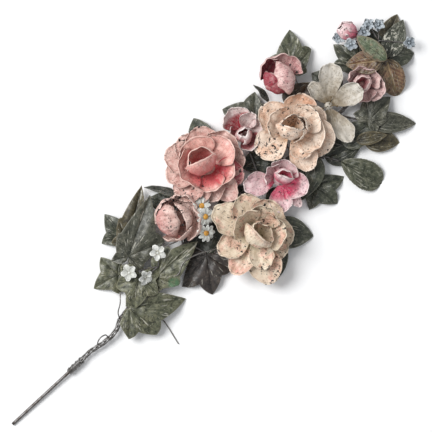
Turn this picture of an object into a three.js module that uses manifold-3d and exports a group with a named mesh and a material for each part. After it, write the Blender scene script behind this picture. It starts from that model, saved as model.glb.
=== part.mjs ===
// Painted tin flower spray: roses, buds, a white lily, daisies, small florets and ivy leaves,
// each stamped from thin sheet, on wires that are bound to one bare stem rod.
// Millimetres. +X runs along the spray from the stem rod to the tip, +Z is up, and z = 0 is the
// surface that the spray lies on. The origin is at the middle of the spray's footprint.
import * as THREE from "three";
import { mergeVertices } from "three/addons/utils/BufferGeometryUtils.js";
import Module from "manifold-3d";

const wasm = await Module();
wasm.setup();

// Driving dimensions
const sprayLength = 562; // from the stem rod's cut end to the last leaf's tip
const sheetThickness = 0.6; // painted tin of the leaves and petals
const rodDiameter = 3.2; // bare stem rod
const rodLength = 92;
const strandDiameter = 1.6; // each of the wires bound round the rod's end
const trunkDiameter = 4.4; // the bundle of wires that runs on through the spray
const branchDiameter = 1.5; // the wire to one leaf or flower
const stamenDiameter = 1;
const bindingLength = 14; // how far the bound wires reach over the rod
const wrapTurns = 1; // turns of each bound wire on the rod
const twistTurns = 2; // turns of the same wires beyond it
const loopStart = 0.54; // where the small loop leaves the bound wires, as a share of their route
const loopEnd = 0.65; // and where it comes back to them
const eyeDiameter = 12; // the flat middle of a whorl, which its petals are bent up from
const stalkDiameter = 3; // a flower's own wire, up through the eyes of its whorls
const clearance = 0.3; // gap between pieces that touch
const smallestDetail = 0.08; // what is smaller is dropped from a cut

// The layout below is drawn on a spray of this length, and follows sprayLength.
const layoutLength = 562;
const scale = sprayLength / layoutLength;
const up = new THREE.Vector3(0, 0, 1);
const at = (x, y, z) => new THREE.Vector3(x, y, z).multiplyScalar(scale);
const radians = THREE.MathUtils.degToRad;
const lerp = THREE.MathUtils.lerp;

// Painted finishes
const paint = (colour, roughness, metalness = 0) =>
  new THREE.MeshStandardMaterial({ color: colour, roughness, metalness });
const finishes = {
  ivy_green: paint("#5d6a52", 0.5),
  dark_green: paint("#343a35", 0.5),
  bronze_brown: paint("#5b4635", 0.5),
  rose_pink: paint("#d99a96", 0.55),
  crimson: paint("#a8475a", 0.55),
  peach: paint("#e6c3a0", 0.55),
  cream: paint("#dccfae", 0.55),
  white: paint("#dedad2", 0.6),
  pale_blue: paint("#a9b6bf", 0.6),
  bare_wire: paint("#4b4746", 0.45, 0.8),
};

// Solids

// A closed mesh as a solid, turned face outwards.
function solidFrom(vertices, triangles) {
  const flat = (list) => list.flatMap((v) => [v.x, v.y, v.z]);
  const build = (order) =>
    new wasm.Manifold(
      new wasm.Mesh({
        numProp: 3,
        vertProperties: new Float32Array(flat(vertices)),
        triVerts: new Uint32Array(order.flat()),
      }),
    );
  const made = build(triangles);
  return made.volume() > 0 ? made : build(triangles.map(([a, b, c]) => [a, c, b]));
}

// A three.js geometry as a solid.
function solidOf(geometry) {
  geometry.deleteAttribute("normal");
  geometry.deleteAttribute("uv");
  const merged = mergeVertices(geometry, 1e-3);
  const place = merged.getAttribute("position");
  const vertices = [];
  for (let i = 0; i < place.count; i++) vertices.push(new THREE.Vector3().fromBufferAttribute(place, i));
  const triangles = [];
  for (let i = 0; i < merged.index.count; i += 3)
    triangles.push([0, 1, 2].map((corner) => merged.index.getX(i + corner)));
  return solidFrom(vertices, triangles);
}

// A solid as a three.js geometry.
function geometryOf(solid) {
  const { vertProperties, triVerts } = solid.getMesh();
  const geometry = new THREE.BufferGeometry();
  geometry.setAttribute("position", new THREE.BufferAttribute(new Float32Array(vertProperties), 3));
  geometry.setIndex([...triVerts]);
  geometry.computeVertexNormals();
  return geometry;
}

// The biggest body of a solid: what a cut leaves loose, and any sealed hollow, goes.
function mainBody(solid) {
  const bodies = solid.decompose();
  return bodies.reduce((best, body) => (body.volume() > best.volume() ? body : best));
}

// Gives a sheet its thickness and closes its edge. Points that meet become one. A margin widens the
// sheet all round, for the room that a neighbour has to leave.
function thicken({ points, faces }, margin = 0) {
  const known = new Map();
  const sheet = [];
  const index = points.map((p) => {
    const key = [p.x, p.y, p.z].map((v) => Math.round(v * 1e3)).join();
    if (!known.has(key)) {
      known.set(key, sheet.length);
      sheet.push(p.clone());
    }
    return known.get(key);
  });
  const triangles = faces
    .map((face) => face.map((i) => index[i]))
    .filter(([a, b, c]) => a !== b && b !== c && c !== a);
  const normals = sheet.map(() => new THREE.Vector3());
  const edges = new Map();
  for (const [a, b, c] of triangles) {
    const normal = sheet[b].clone().sub(sheet[a]).cross(sheet[c].clone().sub(sheet[a]));
    for (const [i, j] of [[a, b], [b, c], [c, a]]) {
      normals[i].add(normal);
      edges.set(i + "," + j, [i, j]);
    }
  }
  normals.forEach((n) => n.normalize());
  const border = [...edges.values()].filter(([i, j]) => !edges.has(j + "," + i));
  const outward = sheet.map(() => new THREE.Vector3());
  for (const [i, j] of border) {
    const side = sheet[j].clone().sub(sheet[i]).cross(normals[i].clone().add(normals[j])).normalize();
    outward[i].add(side);
    outward[j].add(side);
  }
  sheet.forEach((p, i) => p.addScaledVector(outward[i].normalize(), margin));
  const half = sheetThickness / 2 + margin;
  const top = sheet.map((p, i) => p.clone().addScaledVector(normals[i], half));
  const bottom = sheet.map((p, i) => p.clone().addScaledVector(normals[i], -half));
  const n = sheet.length;
  const closed = [];
  for (const [a, b, c] of triangles) closed.push([a, b, c], [a + n, c + n, b + n]);
  for (const [i, j] of border) closed.push([j, i, i + n], [j, i + n, j + n]);
  return solidFrom([...top, ...bottom], closed);
}

// A sheet drawn as a grid of rows, from a function of u along it and s across it.
function gridSheet(rows, columns, pointAt) {
  const points = [];
  const faces = [];
  for (let i = 0; i <= rows; i++)
    for (let j = 0; j <= columns; j++) points.push(pointAt(i / rows, (2 * j) / columns - 1));
  for (let i = 0; i < rows; i++)
    for (let j = 0; j < columns; j++) {
      const corner = i * (columns + 1) + j;
      const above = corner + columns + 1;
      if (j < columns / 2) faces.push([corner, corner + 1, above + 1], [corner, above + 1, above]);
      else faces.push([corner, corner + 1, above], [corner + 1, above + 1, above]);
    }
  return { points, faces };
}

// A round wire along a smooth curve through points.
function wire(route, diameter, steps, sides = 5) {
  const section = new THREE.Shape(
    Array.from({ length: sides }, (_, i) => {
      const turn = (2 * Math.PI * i) / sides;
      return new THREE.Vector2(Math.cos(turn), Math.sin(turn)).multiplyScalar(diameter / 2);
    }),
  );
  const extrudePath = route instanceof THREE.Curve ? route : new THREE.CatmullRomCurve3(route);
  return solidOf(new THREE.ExtrudeGeometry(section, { extrudePath, steps, curveSegments: 1 }));
}

// Petals

// A point of a petal in its whorl's own frame, u from root to rim and s across from -1 to 1.
// The petal leaves the eye at radius `from`, `root` wide to each side, climbs at `rise` degrees, and ends at `end` degrees
// above level. `wrap` is how many degrees it curls round across its width, and `spiral` how far one
// side stands in from the middle, so that it lies over the petal beside it. A small `bend` turns the
// petal up near its root, a large one near its rim.
function petalPoint(petal, u, s) {
  const { from, root, reach, wide, rise, end, wrap = 40, round = 0.22, spiral = 0, bend = 1.4 } = petal;
  const along = u * (1 - round * Math.abs(s) ** 2.2 * u);
  const steps = 12;
  let radius = from;
  let height = 0;
  for (let k = 0; k < steps; k++) {
    const slope = radians(lerp(rise, end, (((k + 0.5) / steps) * along) ** bend));
    radius += (Math.cos(slope) * reach * along) / steps;
    height += (Math.sin(slope) * reach * along) / steps;
  }
  const slope = radians(lerp(rise, end, along ** bend));
  const broad = Math.sin((Math.PI / 2) * Math.min(1, u / 0.65));
  const narrowing = 1 - 0.2 * (Math.max(0, u - 0.65) / 0.35) ** 2;
  const halfWidth = lerp(root, (wide / 2) * narrowing, broad);
  const turn = radians(wrap) / 2;
  const across = (halfWidth / turn) * Math.sin(s * turn);
  const curl = (halfWidth / turn) * (1 - Math.cos(s * turn));
  const inward = curl + spiral * s * lerp(0.5, 1, u);
  radius -= Math.sin(slope) * inward;
  height += Math.cos(slope) * inward;
  const heading = radians(petal.at);
  return new THREE.Vector3(
    radius * Math.cos(heading) - across * Math.sin(heading),
    radius * Math.sin(heading) + across * Math.cos(heading),
    height,
  );
}

// A whorl's own frame: its middle, leaning by `lean` degrees towards the heading `towards`.
function whorlMatrix({ middle, lean = 0, towards = 0 }) {
  const heading = radians(towards);
  const hinge = new THREE.Vector3(-Math.sin(heading), Math.cos(heading), 0);
  return new THREE.Matrix4().makeRotationAxis(hinge, radians(lean)).setPosition(at(...middle));
}

// A whorl stamped from one sheet: a flat eye, `eye` times the usual size, with petals bent up from it.
function whorlSheet(whorl, margin) {
  const matrix = whorlMatrix(whorl);
  const from = (eyeDiameter / 2) * (whorl.eye ?? 1);
  const headings = whorl.petals.map((petal) => THREE.MathUtils.euclideanModulo(petal.at, 360));
  const petals = whorl.petals.map((petal, i) => ({ ...petal, at: headings[i] })).sort((a, b) => a.at - b.at);
  const gapAfter = petals.map(({ at: heading }, i) =>
    THREE.MathUtils.euclideanModulo(petals[(i + 1) % petals.length].at - heading, 360),
  );
  const points = [new THREE.Vector3(0, 0, 0)];
  const faces = [];
  const rim = [];
  petals.forEach((petal, i) => {
    const room = Math.min(gapAfter.at(i - 1), gapAfter[i], 110) / 2;
    const rooted = { spiral: whorl.spiral, ...petal, from, root: from * Math.sin(radians(room * 0.9)) };
    const columns = petal.wide < 25 ? 2 : 3;
    const rows = petal.end > 160 ? 4 : petal.end > 75 ? 3 : 2;
    const sheet = gridSheet(rows, columns, (u, s) => petalPoint(rooted, u, s));
    const first = points.length;
    points.push(...sheet.points);
    faces.push(...sheet.faces.map((face) => face.map((corner) => corner + first)));
    for (let j = 0; j <= columns; j++) rim.push(first + j);
  });
  rim.forEach((corner, i) => faces.push([0, rim[(i + 1) % rim.length], corner]));
  points.forEach((point) => point.multiplyScalar(scale).applyMatrix4(matrix));
  return thicken({ points, faces }, margin);
}

// A floret stamped in one piece: `count` blunt petals round its middle, which dip at their tips.
function stampedFloret({ count, reach, wide, droop, tips }, matrix, margin) {
  const gap = Math.PI / count;
  const half = Math.asin(wide / (1.7 * reach));
  const place = (heading, share) => {
    const radius = share * reach;
    const height = 0.15 * radius - droop * share ** 2;
    return at(radius * Math.cos(heading), radius * Math.sin(heading), height).applyMatrix4(matrix);
  };
  const points = [place(0, 0)];
  const faces = [];
  for (let i = 0; i < count; i++) {
    const heading = 2 * i * gap;
    const [left, right] = [heading - gap, heading + gap].map((turn) => place(turn, 0.45));
    const rim = tips.map(([turn, share]) => place(heading + turn * half, share));
    const first = points.length;
    points.push(left, ...rim, right);
    const last = points.length - 1;
    faces.push([0, first, last]);
    rim.forEach((_, k) => faces.push([last, first + k, first + k + 1]));
    faces.splice(-1, 1);
  }
  return thicken({ points, faces }, margin);
}

// A flower: its whorls, on a stalk through their eyes, and any stamens.
function flower({ whorls, stamens = [] }, margin = 0) {
  const sheets = whorls.map((whorl) => whorlSheet(whorl, margin));
  const stalks = whorls.slice(1).map((whorl, i) => {
    const [low, high] = [whorls[i], whorl].map(({ middle }) => at(...middle));
    return wire(new THREE.LineCurve3(low, high), stalkDiameter + 2 * margin, 1, 4);
  });
  const threads = stamens.map((route) =>
    wire(route.map((p) => at(...p)), stamenDiameter + 2 * margin, 2, 4),
  );
  return mainBody(wasm.Manifold.union([...sheets, ...stalks, ...threads]));
}

// Several small flowers whose wires meet.
function sprig({ florets, meet }, margin = 0) {
  const foot = at(...meet);
  const bodies = florets.flatMap((floret) => {
    const matrix = whorlMatrix(floret);
    const base = at(...floret.middle);
    const below = base.clone().lerp(foot, 0.5).add(at(0, 0, -2));
    const stalk = wire([base, below, foot], branchDiameter + 2 * margin, 2, 3);
    return [stampedFloret(floret, matrix, margin), stalk];
  });
  return mainBody(wasm.Manifold.union(bodies));
}

// Leaves

// A leaf's own frame: from its wire to its tip, rolled about that line.
function leafMatrix({ from, to, roll = 0 }) {
  const base = at(...from);
  const forward = at(...to).sub(base).normalize();
  const side = new THREE.Vector3().crossVectors(up, forward).normalize();
  side.applyAxisAngle(forward, radians(roll));
  const face = new THREE.Vector3().crossVectors(forward, side);
  return new THREE.Matrix4().makeBasis(forward, side, face).setPosition(base);
}

// A point of the leaf's flat outline lifted to its pressed shape: it arches along its length,
// folds up from its veins by `fold` and hangs at its sides by `hang`.
function pressed(length, along, across, ridge, { arch = 0.06, fold = 0.16, hang = 0.25 }) {
  const u = Math.max(along / length, -0.3);
  const height = arch * length * 4 * u * (1 - u) + fold * ridge - (hang * across * across) / length;
  return new THREE.Vector3(along, across, height);
}

// A plain pointed leaf. Its widest place lies at swell / (swell + taper) of its length.
function pointedLeaf(leaf, length) {
  const { swell = 0.55, taper = 0.95 } = leaf;
  const most = (swell / (swell + taper)) ** swell * (taper / (swell + taper)) ** taper;
  return gridSheet(4, 2, (u, s) => {
    const across = (s * leaf.wide * scale * u ** swell * (1 - u) ** taper) / most / 2;
    return pressed(length, u * length, across, Math.abs(across), leaf);
  });
}

// An ivy leaf: straight-sided lobes round the place where its wire joins. Each lobe has a heading
// from the main one, in degrees, and a length as a share of the main one's.
function ivyLeaf(leaf, length) {
  const lobes = [...leaf.lobes, [0, 1]].sort((a, b) => a[0] - b[0]);
  const [first, final] = [lobes[0], lobes[lobes.length - 1]];
  const polar = (heading, share) =>
    new THREE.Vector2(Math.cos(radians(heading)), Math.sin(radians(heading))).multiplyScalar(share * length);
  const notches = lobes.slice(1).map(([heading, share], i) => {
    const [before, shareBefore] = lobes[i];
    const between = (heading * shareBefore + before * share) / (share + shareBefore);
    const straight = (2 * share * shareBefore * Math.cos(radians(heading - before) / 2)) / (share + shareBefore);
    return polar(between, 0.8 * straight);
  });
  const low = polar(Math.max(first[0] - 32, -165), 0.58 * first[1]);
  const high = polar(Math.min(final[0] + 32, 165), 0.58 * final[1]);
  const corners = [low, ...notches, high];
  const outline = [{ point: polar(Math.max(first[0] - 75, -172), 0.07), ridge: 0 }];
  lobes.forEach(([heading, share], i) => {
    const tip = polar(heading, share);
    const bulge = (corner) => corner.clone().lerp(tip, 0.45).addScaledVector(corner, 0.1);
    outline.push(
      { point: corners[i], ridge: 1 },
      { point: bulge(corners[i]), ridge: 0.8 },
      { point: tip, ridge: 0 },
      { point: bulge(corners[i + 1]), ridge: 0.8 },
    );
  });
  outline.push({ point: high, ridge: 1 }, { point: polar(Math.min(final[0] + 75, 172), 0.07), ridge: 0 });
  const points = [{ point: new THREE.Vector2(0, 0), ridge: 0 }, ...outline].map(({ point, ridge }) =>
    pressed(length, point.x, point.y, ridge * point.length() * 0.6, leaf),
  );
  const faces = outline.slice(1).map((_, i) => [0, i + 1, i + 2]);
  return { points, faces };
}

// A leaf rests on the surface where it would reach below it.
function leafSolid(leaf, margin = 0) {
  const matrix = leafMatrix(leaf);
  const length = at(...leaf.to).distanceTo(at(...leaf.from));
  const { points, faces } = leaf.lobes ? ivyLeaf(leaf, length) : pointedLeaf(leaf, length);
  const placed = points.map((p) => p.applyMatrix4(matrix));
  placed.forEach((p) => (p.z = Math.max(p.z, sheetThickness / 2)));
  return thicken({ points: placed, faces }, margin);
}

// Stem and wires

const rodEnd = at(-281, 1.5, 0).setZ(rodDiameter / 2);
const rodHeading = at(92, -3.5, 3.4).normalize();
const rodTop = rodEnd.clone().addScaledVector(rodHeading, rodLength * scale);
const trunkStart = [-131, 0, 6];
const trunkCurve = new THREE.CatmullRomCurve3(
  [trunkStart, [-100, 4, 8], [-50, 8, 9], [0, 5, 9], [50, 2, 9], [100, -5, 9], [150, -10, 8],
    [200, -8, 7], [243, -5, 9]].map((p) => at(...p)),
);

const stemRod = (margin = 0) =>
  wire(new THREE.LineCurve3(rodEnd, rodTop.clone().addScaledVector(rodHeading, margin)), rodDiameter + 2 * margin, 1, 12);

// The route of the wires that are bound round the rod's end and run on to the spray.
const bindingStart = rodTop.clone().addScaledVector(rodHeading, -bindingLength * scale);
const bindingCurve = new THREE.CatmullRomCurve3([
  bindingStart,
  rodTop,
  ...[[-175, -2, 6], [-160, -5, 6.5], [-147, -6, 7], [-138, -4, 7], trunkStart].map((p) => at(...p)),
]);

// One of three wires twisted together, close round the rod and then on their own.
class TwistedStrand extends THREE.Curve {
  constructor(phase) {
    super();
    this.phase = phase;
  }
  getPoint(t, target = new THREE.Vector3()) {
    const onRod = bindingStart.distanceTo(rodTop) / bindingCurve.getLength();
    const travelled = t * 0.985;
    const beyond = THREE.MathUtils.smoothstep(travelled, onRod + 0.02, onRod * 1.6);
    const wound = (rodDiameter + strandDiameter) / 2 + clearance + 0.6;
    const atEnd = THREE.MathUtils.smoothstep(travelled, 0.95, 0.98);
    const radius = lerp(lerp(wound, strandDiameter * 1.1, beyond), strandDiameter * 0.2, atEnd);
    const turns =
      travelled < onRod
        ? (wrapTurns * travelled) / onRod
        : wrapTurns + (twistTurns * (travelled - onRod)) / (1 - onRod);
    const angle = this.phase + 2 * Math.PI * turns;
    const centre = bindingCurve.getPointAt(travelled);
    const forward = bindingCurve.getTangentAt(travelled);
    const side = new THREE.Vector3().crossVectors(up, forward).normalize();
    const over = new THREE.Vector3().crossVectors(forward, side);
    centre.addScaledVector(side, Math.cos(angle) * radius).addScaledVector(over, Math.sin(angle) * radius);
    return target.copy(centre);
  }
}

// The bound wires, with the small loop that stands out from them.
function stemBinding(margin = 0) {
  const twisted = [0, 1, 2].map((i) => new TwistedStrand((2 * Math.PI * i) / 3));
  const strands = twisted.map((strand) => wire(strand, strandDiameter + 2 * margin, 22, 3));
  const crown = [[-161, 0.5, 8], [-157, 3, 8.5], [-153, 0, 8]].map((p) => at(...p));
  const loop = [twisted[1].getPoint(loopStart), ...crown, twisted[0].getPoint(loopEnd)];
  strands.push(wire(loop, branchDiameter + 2 * margin, 6, 3));
  return mainBody(wasm.Manifold.union(strands));
}

// A wire that leaves the trunk, runs low, and comes up to a leaf or a hub from below.
function branch([x, y, z], margin, rise = 0) {
  const share = THREE.MathUtils.clamp((x - 0.45 * Math.abs(y) + 131) / 374, 0.02, 0.96);
  const start = trunkCurve.getPointAt(share);
  const end = at(x, y, z);
  const middle = start.clone().lerp(end, 0.6).setZ(lerp(start.z, end.z, 0.35));
  const route = [start, middle];
  if (rise > 0) route.push(end.clone().add(at(0, 0, -rise)));
  route.push(end);
  const steps = start.distanceTo(end) > 30 * scale ? 2 : 1;
  return wire(route, branchDiameter + 2 * margin, steps, 3);
}

// The flowers. Each petal has its heading in the whorl, its reach from the hub, and its width.

const flowers = {
  pink_rose_outer: {
    slot: "rose_pink",
    whorls: [
      {
        middle: [38, 46, 16], lean: 4, towards: 90, spiral: 3,
        petals: [
          { at: 183, reach: 38, wide: 34, rise: 18, end: -8 },
          { at: 206, reach: 35, wide: 28, rise: 18, end: -12 },
          { at: 148, reach: 37, wide: 32, rise: 18, end: -10 },
          { at: 116, reach: 39, wide: 34, rise: 18, end: -6 },
          { at: 86, reach: 35, wide: 32, rise: 18, end: -8 },
          { at: 54, reach: 36, wide: 34, rise: 18, end: -6 },
          { at: 6, reach: 37, wide: 38, rise: 24, end: 2 },
          { at: -30, reach: 35, wide: 34, rise: 20, end: 0 },
          { at: -64, reach: 34, wide: 32, rise: 18, end: -10 },
          { at: -94, reach: 39, wide: 26, rise: 18, end: -14 },
          { at: -122, reach: 31, wide: 28, rise: 18, end: -10 },
        ],
      },
    ],
  },
  pink_rose_heart: {
    slot: "rose_pink",
    whorls: [
      {
        middle: [38, 46, 20.5], lean: 10, towards: 90, eye: 1.4,
        petals: [
          { at: 150, reach: 28, wide: 44, rise: 52, end: 40, wrap: 80 },
          { at: 75, reach: 28, wide: 42, rise: 50, end: 20, wrap: 70 },
          { at: 0, reach: 30, wide: 38, rise: 40, end: 2, wrap: 60 },
          { at: -62, reach: 24, wide: 30, rise: 32, end: 2, wrap: 60 },
          { at: -118, reach: 21, wide: 30, rise: 36, end: 4, wrap: 60 },
        ],
      },
      {
        middle: [38, 49, 22], lean: 16, towards: 90, eye: 0.8, spiral: 2.5,
        petals: [
          { at: 246, reach: 38, wide: 46, rise: 40, end: 150, wrap: 140, round: 0.1, bend: 1 },
          { at: 66, reach: 31, wide: 46, rise: 62, end: 96, wrap: 160 },
          { at: 160, reach: 24, wide: 26, rise: 62, end: 92, wrap: 110 },
        ],
      },
    ],
  },
  peach_rose_outer: {
    slot: "peach",
    whorls: [
      {
        middle: [122, 12, 16], lean: 4, towards: -60, spiral: 3,
        petals: [
          { at: 96, reach: 34, wide: 34, rise: 18, end: 0, wrap: 60 },
          { at: 168, reach: 36, wide: 34, rise: 18, end: -8 },
          { at: 252, reach: 39, wide: 28, rise: 18, end: -12 },
          { at: 300, reach: 40, wide: 40, rise: 18, end: -10 },
          { at: 344, reach: 34, wide: 32, rise: 18, end: -4 },
          { at: 20, reach: 35, wide: 38, rise: 18, end: -4 },
        ],
      },
    ],
  },
  peach_rose_heart: {
    slot: "peach",
    whorls: [
      {
        middle: [123, 11, 20.5], lean: 6, towards: -20, eye: 1.3,
        petals: [
          { at: 302, reach: 27, wide: 38, rise: 34, end: 4, wrap: 60 },
          { at: 356, reach: 26, wide: 36, rise: 40, end: 8, wrap: 60 },
          { at: 252, reach: 24, wide: 26, rise: 26, end: 2, wrap: 50 },
          { at: 105, reach: 25, wide: 36, rise: 46, end: 20, wrap: 60 },
        ],
      },
      {
        middle: [123, 12, 22], lean: 10, towards: 30, eye: 0.8, spiral: 4,
        petals: [
          { at: 205, reach: 36, wide: 42, rise: 40, end: 150, wrap: 140, round: 0.1, bend: 1 },
          { at: 292, reach: 24, wide: 30, rise: 60, end: 84, wrap: 110 },
          { at: 30, reach: 29, wide: 44, rise: 62, end: 94, wrap: 160 },
        ],
      },
    ],
  },
  cream_rose_outer: {
    slot: "cream",
    whorls: [
      {
        middle: [25, -36, 15], lean: 5, towards: -80, spiral: 3,
        petals: [
          { at: 104, reach: 46, wide: 34, rise: 18, end: -4 },
          { at: 64, reach: 38, wide: 34, rise: 18, end: -4 },
          { at: 14, reach: 33, wide: 38, rise: 18, end: -8 },
          { at: -46, reach: 33, wide: 34, rise: 18, end: -8 },
          { at: -80, reach: 31, wide: 30, rise: 18, end: -10 },
          { at: -119, reach: 47, wide: 34, rise: 18, end: -12 },
          { at: 194, reach: 41, wide: 26, rise: 18, end: -12 },
          { at: 158, reach: 37, wide: 28, rise: 18, end: -10 },
        ],
      },
    ],
  },
  cream_rose_heart: {
    slot: "cream",
    whorls: [
      {
        middle: [25, -36, 19.5], lean: 6, towards: -60, eye: 1.3,
        petals: [
          { at: 92, reach: 27, wide: 40, rise: 50, end: 56, wrap: 70 },
          { at: 30, reach: 28, wide: 40, rise: 44, end: 40, wrap: 80 },
          { at: -36, reach: 28, wide: 40, rise: 40, end: 36, wrap: 90 },
          { at: -122, reach: 30, wide: 26, rise: 30, end: 0, wrap: 60 },
        ],
      },
      {
        middle: [23, -37, 21], lean: 14, towards: -20, eye: 0.8, spiral: 2.5,
        petals: [
          { at: 178, reach: 34, wide: 42, rise: 40, end: 150, wrap: 140, round: 0.1, bend: 1 },
          { at: 88, reach: 26, wide: 30, rise: 60, end: 84, wrap: 110 },
          { at: 325, reach: 22, wide: 36, rise: 44, end: 70, wrap: 150 },
        ],
      },
    ],
  },
  blush_bud: {
    slot: "rose_pink",
    whorls: [
      {
        middle: [-20, 31, 14], lean: 8, towards: 150, eye: 1.3, spiral: 2,
        petals: [
          { at: 168, reach: 48, wide: 46, rise: 0, end: 218, wrap: 130, round: 0.1, bend: 0.8 },
          { at: 240, reach: 30, wide: 36, rise: 0, end: 112, wrap: 100, bend: 0.8 },
          { at: 300, reach: 31, wide: 40, rise: 0, end: 104, wrap: 110 },
          { at: 335, reach: 30, wide: 36, rise: 10, end: 140, wrap: 130, bend: 0.8 },
          { at: 15, reach: 31, wide: 36, rise: 0, end: 110, wrap: 110 },
          { at: 90, reach: 31, wide: 38, rise: 0, end: 114, wrap: 100, bend: 0.8 },
        ],
      },
    ],
  },
  crimson_bud: {
    slot: "crimson",
    whorls: [
      {
        middle: [151, 56, 14], lean: 6, towards: 120, eye: 1.1, spiral: 2,
        petals: [
          { at: 335, reach: 39, wide: 38, rise: 0, end: 208, wrap: 110, round: 0.1, bend: 0.8 },
          { at: 236, reach: 35, wide: 34, rise: 0, end: 206, wrap: 110, round: 0.1, bend: 0.8 },
          { at: 165, reach: 32, wide: 30, rise: 0, end: 170, wrap: 110, bend: 0.8 },
          { at: 90, reach: 27, wide: 32, rise: 10, end: 110, wrap: 110 },
          { at: 15, reach: 27, wide: 40, rise: 0, end: 80, wrap: 100 },
        ],
      },
    ],
  },
  red_white_rose: {
    slot: "crimson",
    whorls: [
      {
        middle: [87, 45, 11], lean: 8, towards: 40, eye: 0.8, spiral: 2,
        petals: [
          { at: 74, reach: 26, wide: 36, rise: 32, end: 60, wrap: 110 },
          { at: 16, reach: 22, wide: 20, rise: 44, end: 50, wrap: 110 },
          { at: 332, reach: 22, wide: 20, rise: 30, end: 20, wrap: 80 },
          { at: 262, reach: 20, wide: 26, rise: 24, end: 40, wrap: 90 },
          { at: 160, reach: 14, wide: 22, rise: 40, end: 80, wrap: 100 },
        ],
      },
      {
        middle: [87, 43, 13], lean: 8, towards: 250, eye: 0.5, spiral: 1.5,
        petals: [
          { at: 290, reach: 21, wide: 22, rise: 50, end: 130, wrap: 130 },
          { at: 200, reach: 20, wide: 20, rise: 56, end: 124, wrap: 130 },
          { at: 60, reach: 18, wide: 22, rise: 56, end: 100, wrap: 130 },
        ],
      },
    ],
  },
  pink_white_rose: {
    slot: "rose_pink",
    whorls: [
      {
        middle: [80, -14, 14], lean: 6, towards: -40,
        petals: [
          { at: 146, reach: 33, wide: 26, rise: 18, end: 4, wrap: 60 },
          { at: 228, reach: 28, wide: 24, rise: 12, end: -6 },
          { at: 264, reach: 29, wide: 18, rise: 10, end: -8, round: 0.5 },
          { at: 294, reach: 27, wide: 30, rise: 30, end: 20, wrap: 90 },
          { at: 20, reach: 19, wide: 34, rise: 36, end: 40, wrap: 100 },
          { at: 100, reach: 17, wide: 28, rise: 40, end: 60, wrap: 100 },
        ],
      },
      {
        middle: [84, -14, 17], lean: 12, towards: -20, eye: 0.6, spiral: 2,
        petals: [
          { at: 200, reach: 20, wide: 26, rise: 60, end: 96, wrap: 130 },
          { at: 20, reach: 16, wide: 24, rise: 62, end: 100, wrap: 130 },
        ],
      },
    ],
  },
  white_lily: {
    slot: "white",
    whorls: [
      {
        middle: [167, 3, 12], eye: 0.7,
        petals: [
          { at: 84, reach: 27, wide: 18, rise: 26, end: 2, wrap: 50 },
          { at: 42, reach: 41, wide: 26, rise: 30, end: 0, wrap: 50, round: 0.12 },
          { at: -17, reach: 39, wide: 24, rise: 48, end: 2, wrap: 40, round: 0.12 },
          { at: -103, reach: 39, wide: 22, rise: 14, end: -10, wrap: 50 },
          { at: -142, reach: 20, wide: 20, rise: 4, end: -6, wrap: 40 },
        ],
      },
    ],
    stamens: [
      [[166, 3.5, 12], [163, 4, 24], [160, 5.5, 32]],
      [[168.5, 4, 12], [171, 5, 24], [174, 7.5, 30]],
      [[167.5, 1.5, 12], [169, 1, 24], [172, -3, 31]],
    ],
  },
  dusty_rose: {
    slot: "rose_pink",
    whorls: [
      {
        middle: [205, -5, 8], lean: 4, towards: -60, eye: 0.8, spiral: 1,
        petals: [
          { at: 62, reach: 20, wide: 30, rise: 32, end: 62, wrap: 110 },
          { at: 350, reach: 20, wide: 28, rise: 28, end: 56, wrap: 100 },
          { at: 300, reach: 22, wide: 28, rise: 22, end: 30, wrap: 80 },
          { at: 236, reach: 17, wide: 28, rise: 24, end: 50, wrap: 90 },
          { at: 140, reach: 13, wide: 24, rise: 36, end: 60, wrap: 100 },
        ],
      },
      {
        middle: [205.5, -4.5, 10], lean: 10, towards: -10, eye: 0.5, spiral: 2,
        petals: [
          { at: 30, reach: 15, wide: 24, rise: 48, end: 96, wrap: 140 },
          { at: 150, reach: 13, wide: 22, rise: 52, end: 96, wrap: 140 },
          { at: 270, reach: 15, wide: 24, rise: 44, end: 96, wrap: 140 },
        ],
      },
    ],
  },
  small_bud: {
    slot: "rose_pink",
    whorls: [
      {
        middle: [236, 34, 12], lean: 64, towards: 110, eye: 0.5, spiral: 1.5,
        petals: [
          { at: 90, reach: 22, wide: 22, rise: 56, end: 116, wrap: 110 },
          { at: 180, reach: 24, wide: 22, rise: 52, end: 122, wrap: 110 },
          { at: 270, reach: 22, wide: 22, rise: 56, end: 116, wrap: 110 },
          { at: 0, reach: 23, wide: 22, rise: 52, end: 122, wrap: 110 },
        ],
      },
    ],
  },
};

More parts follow.
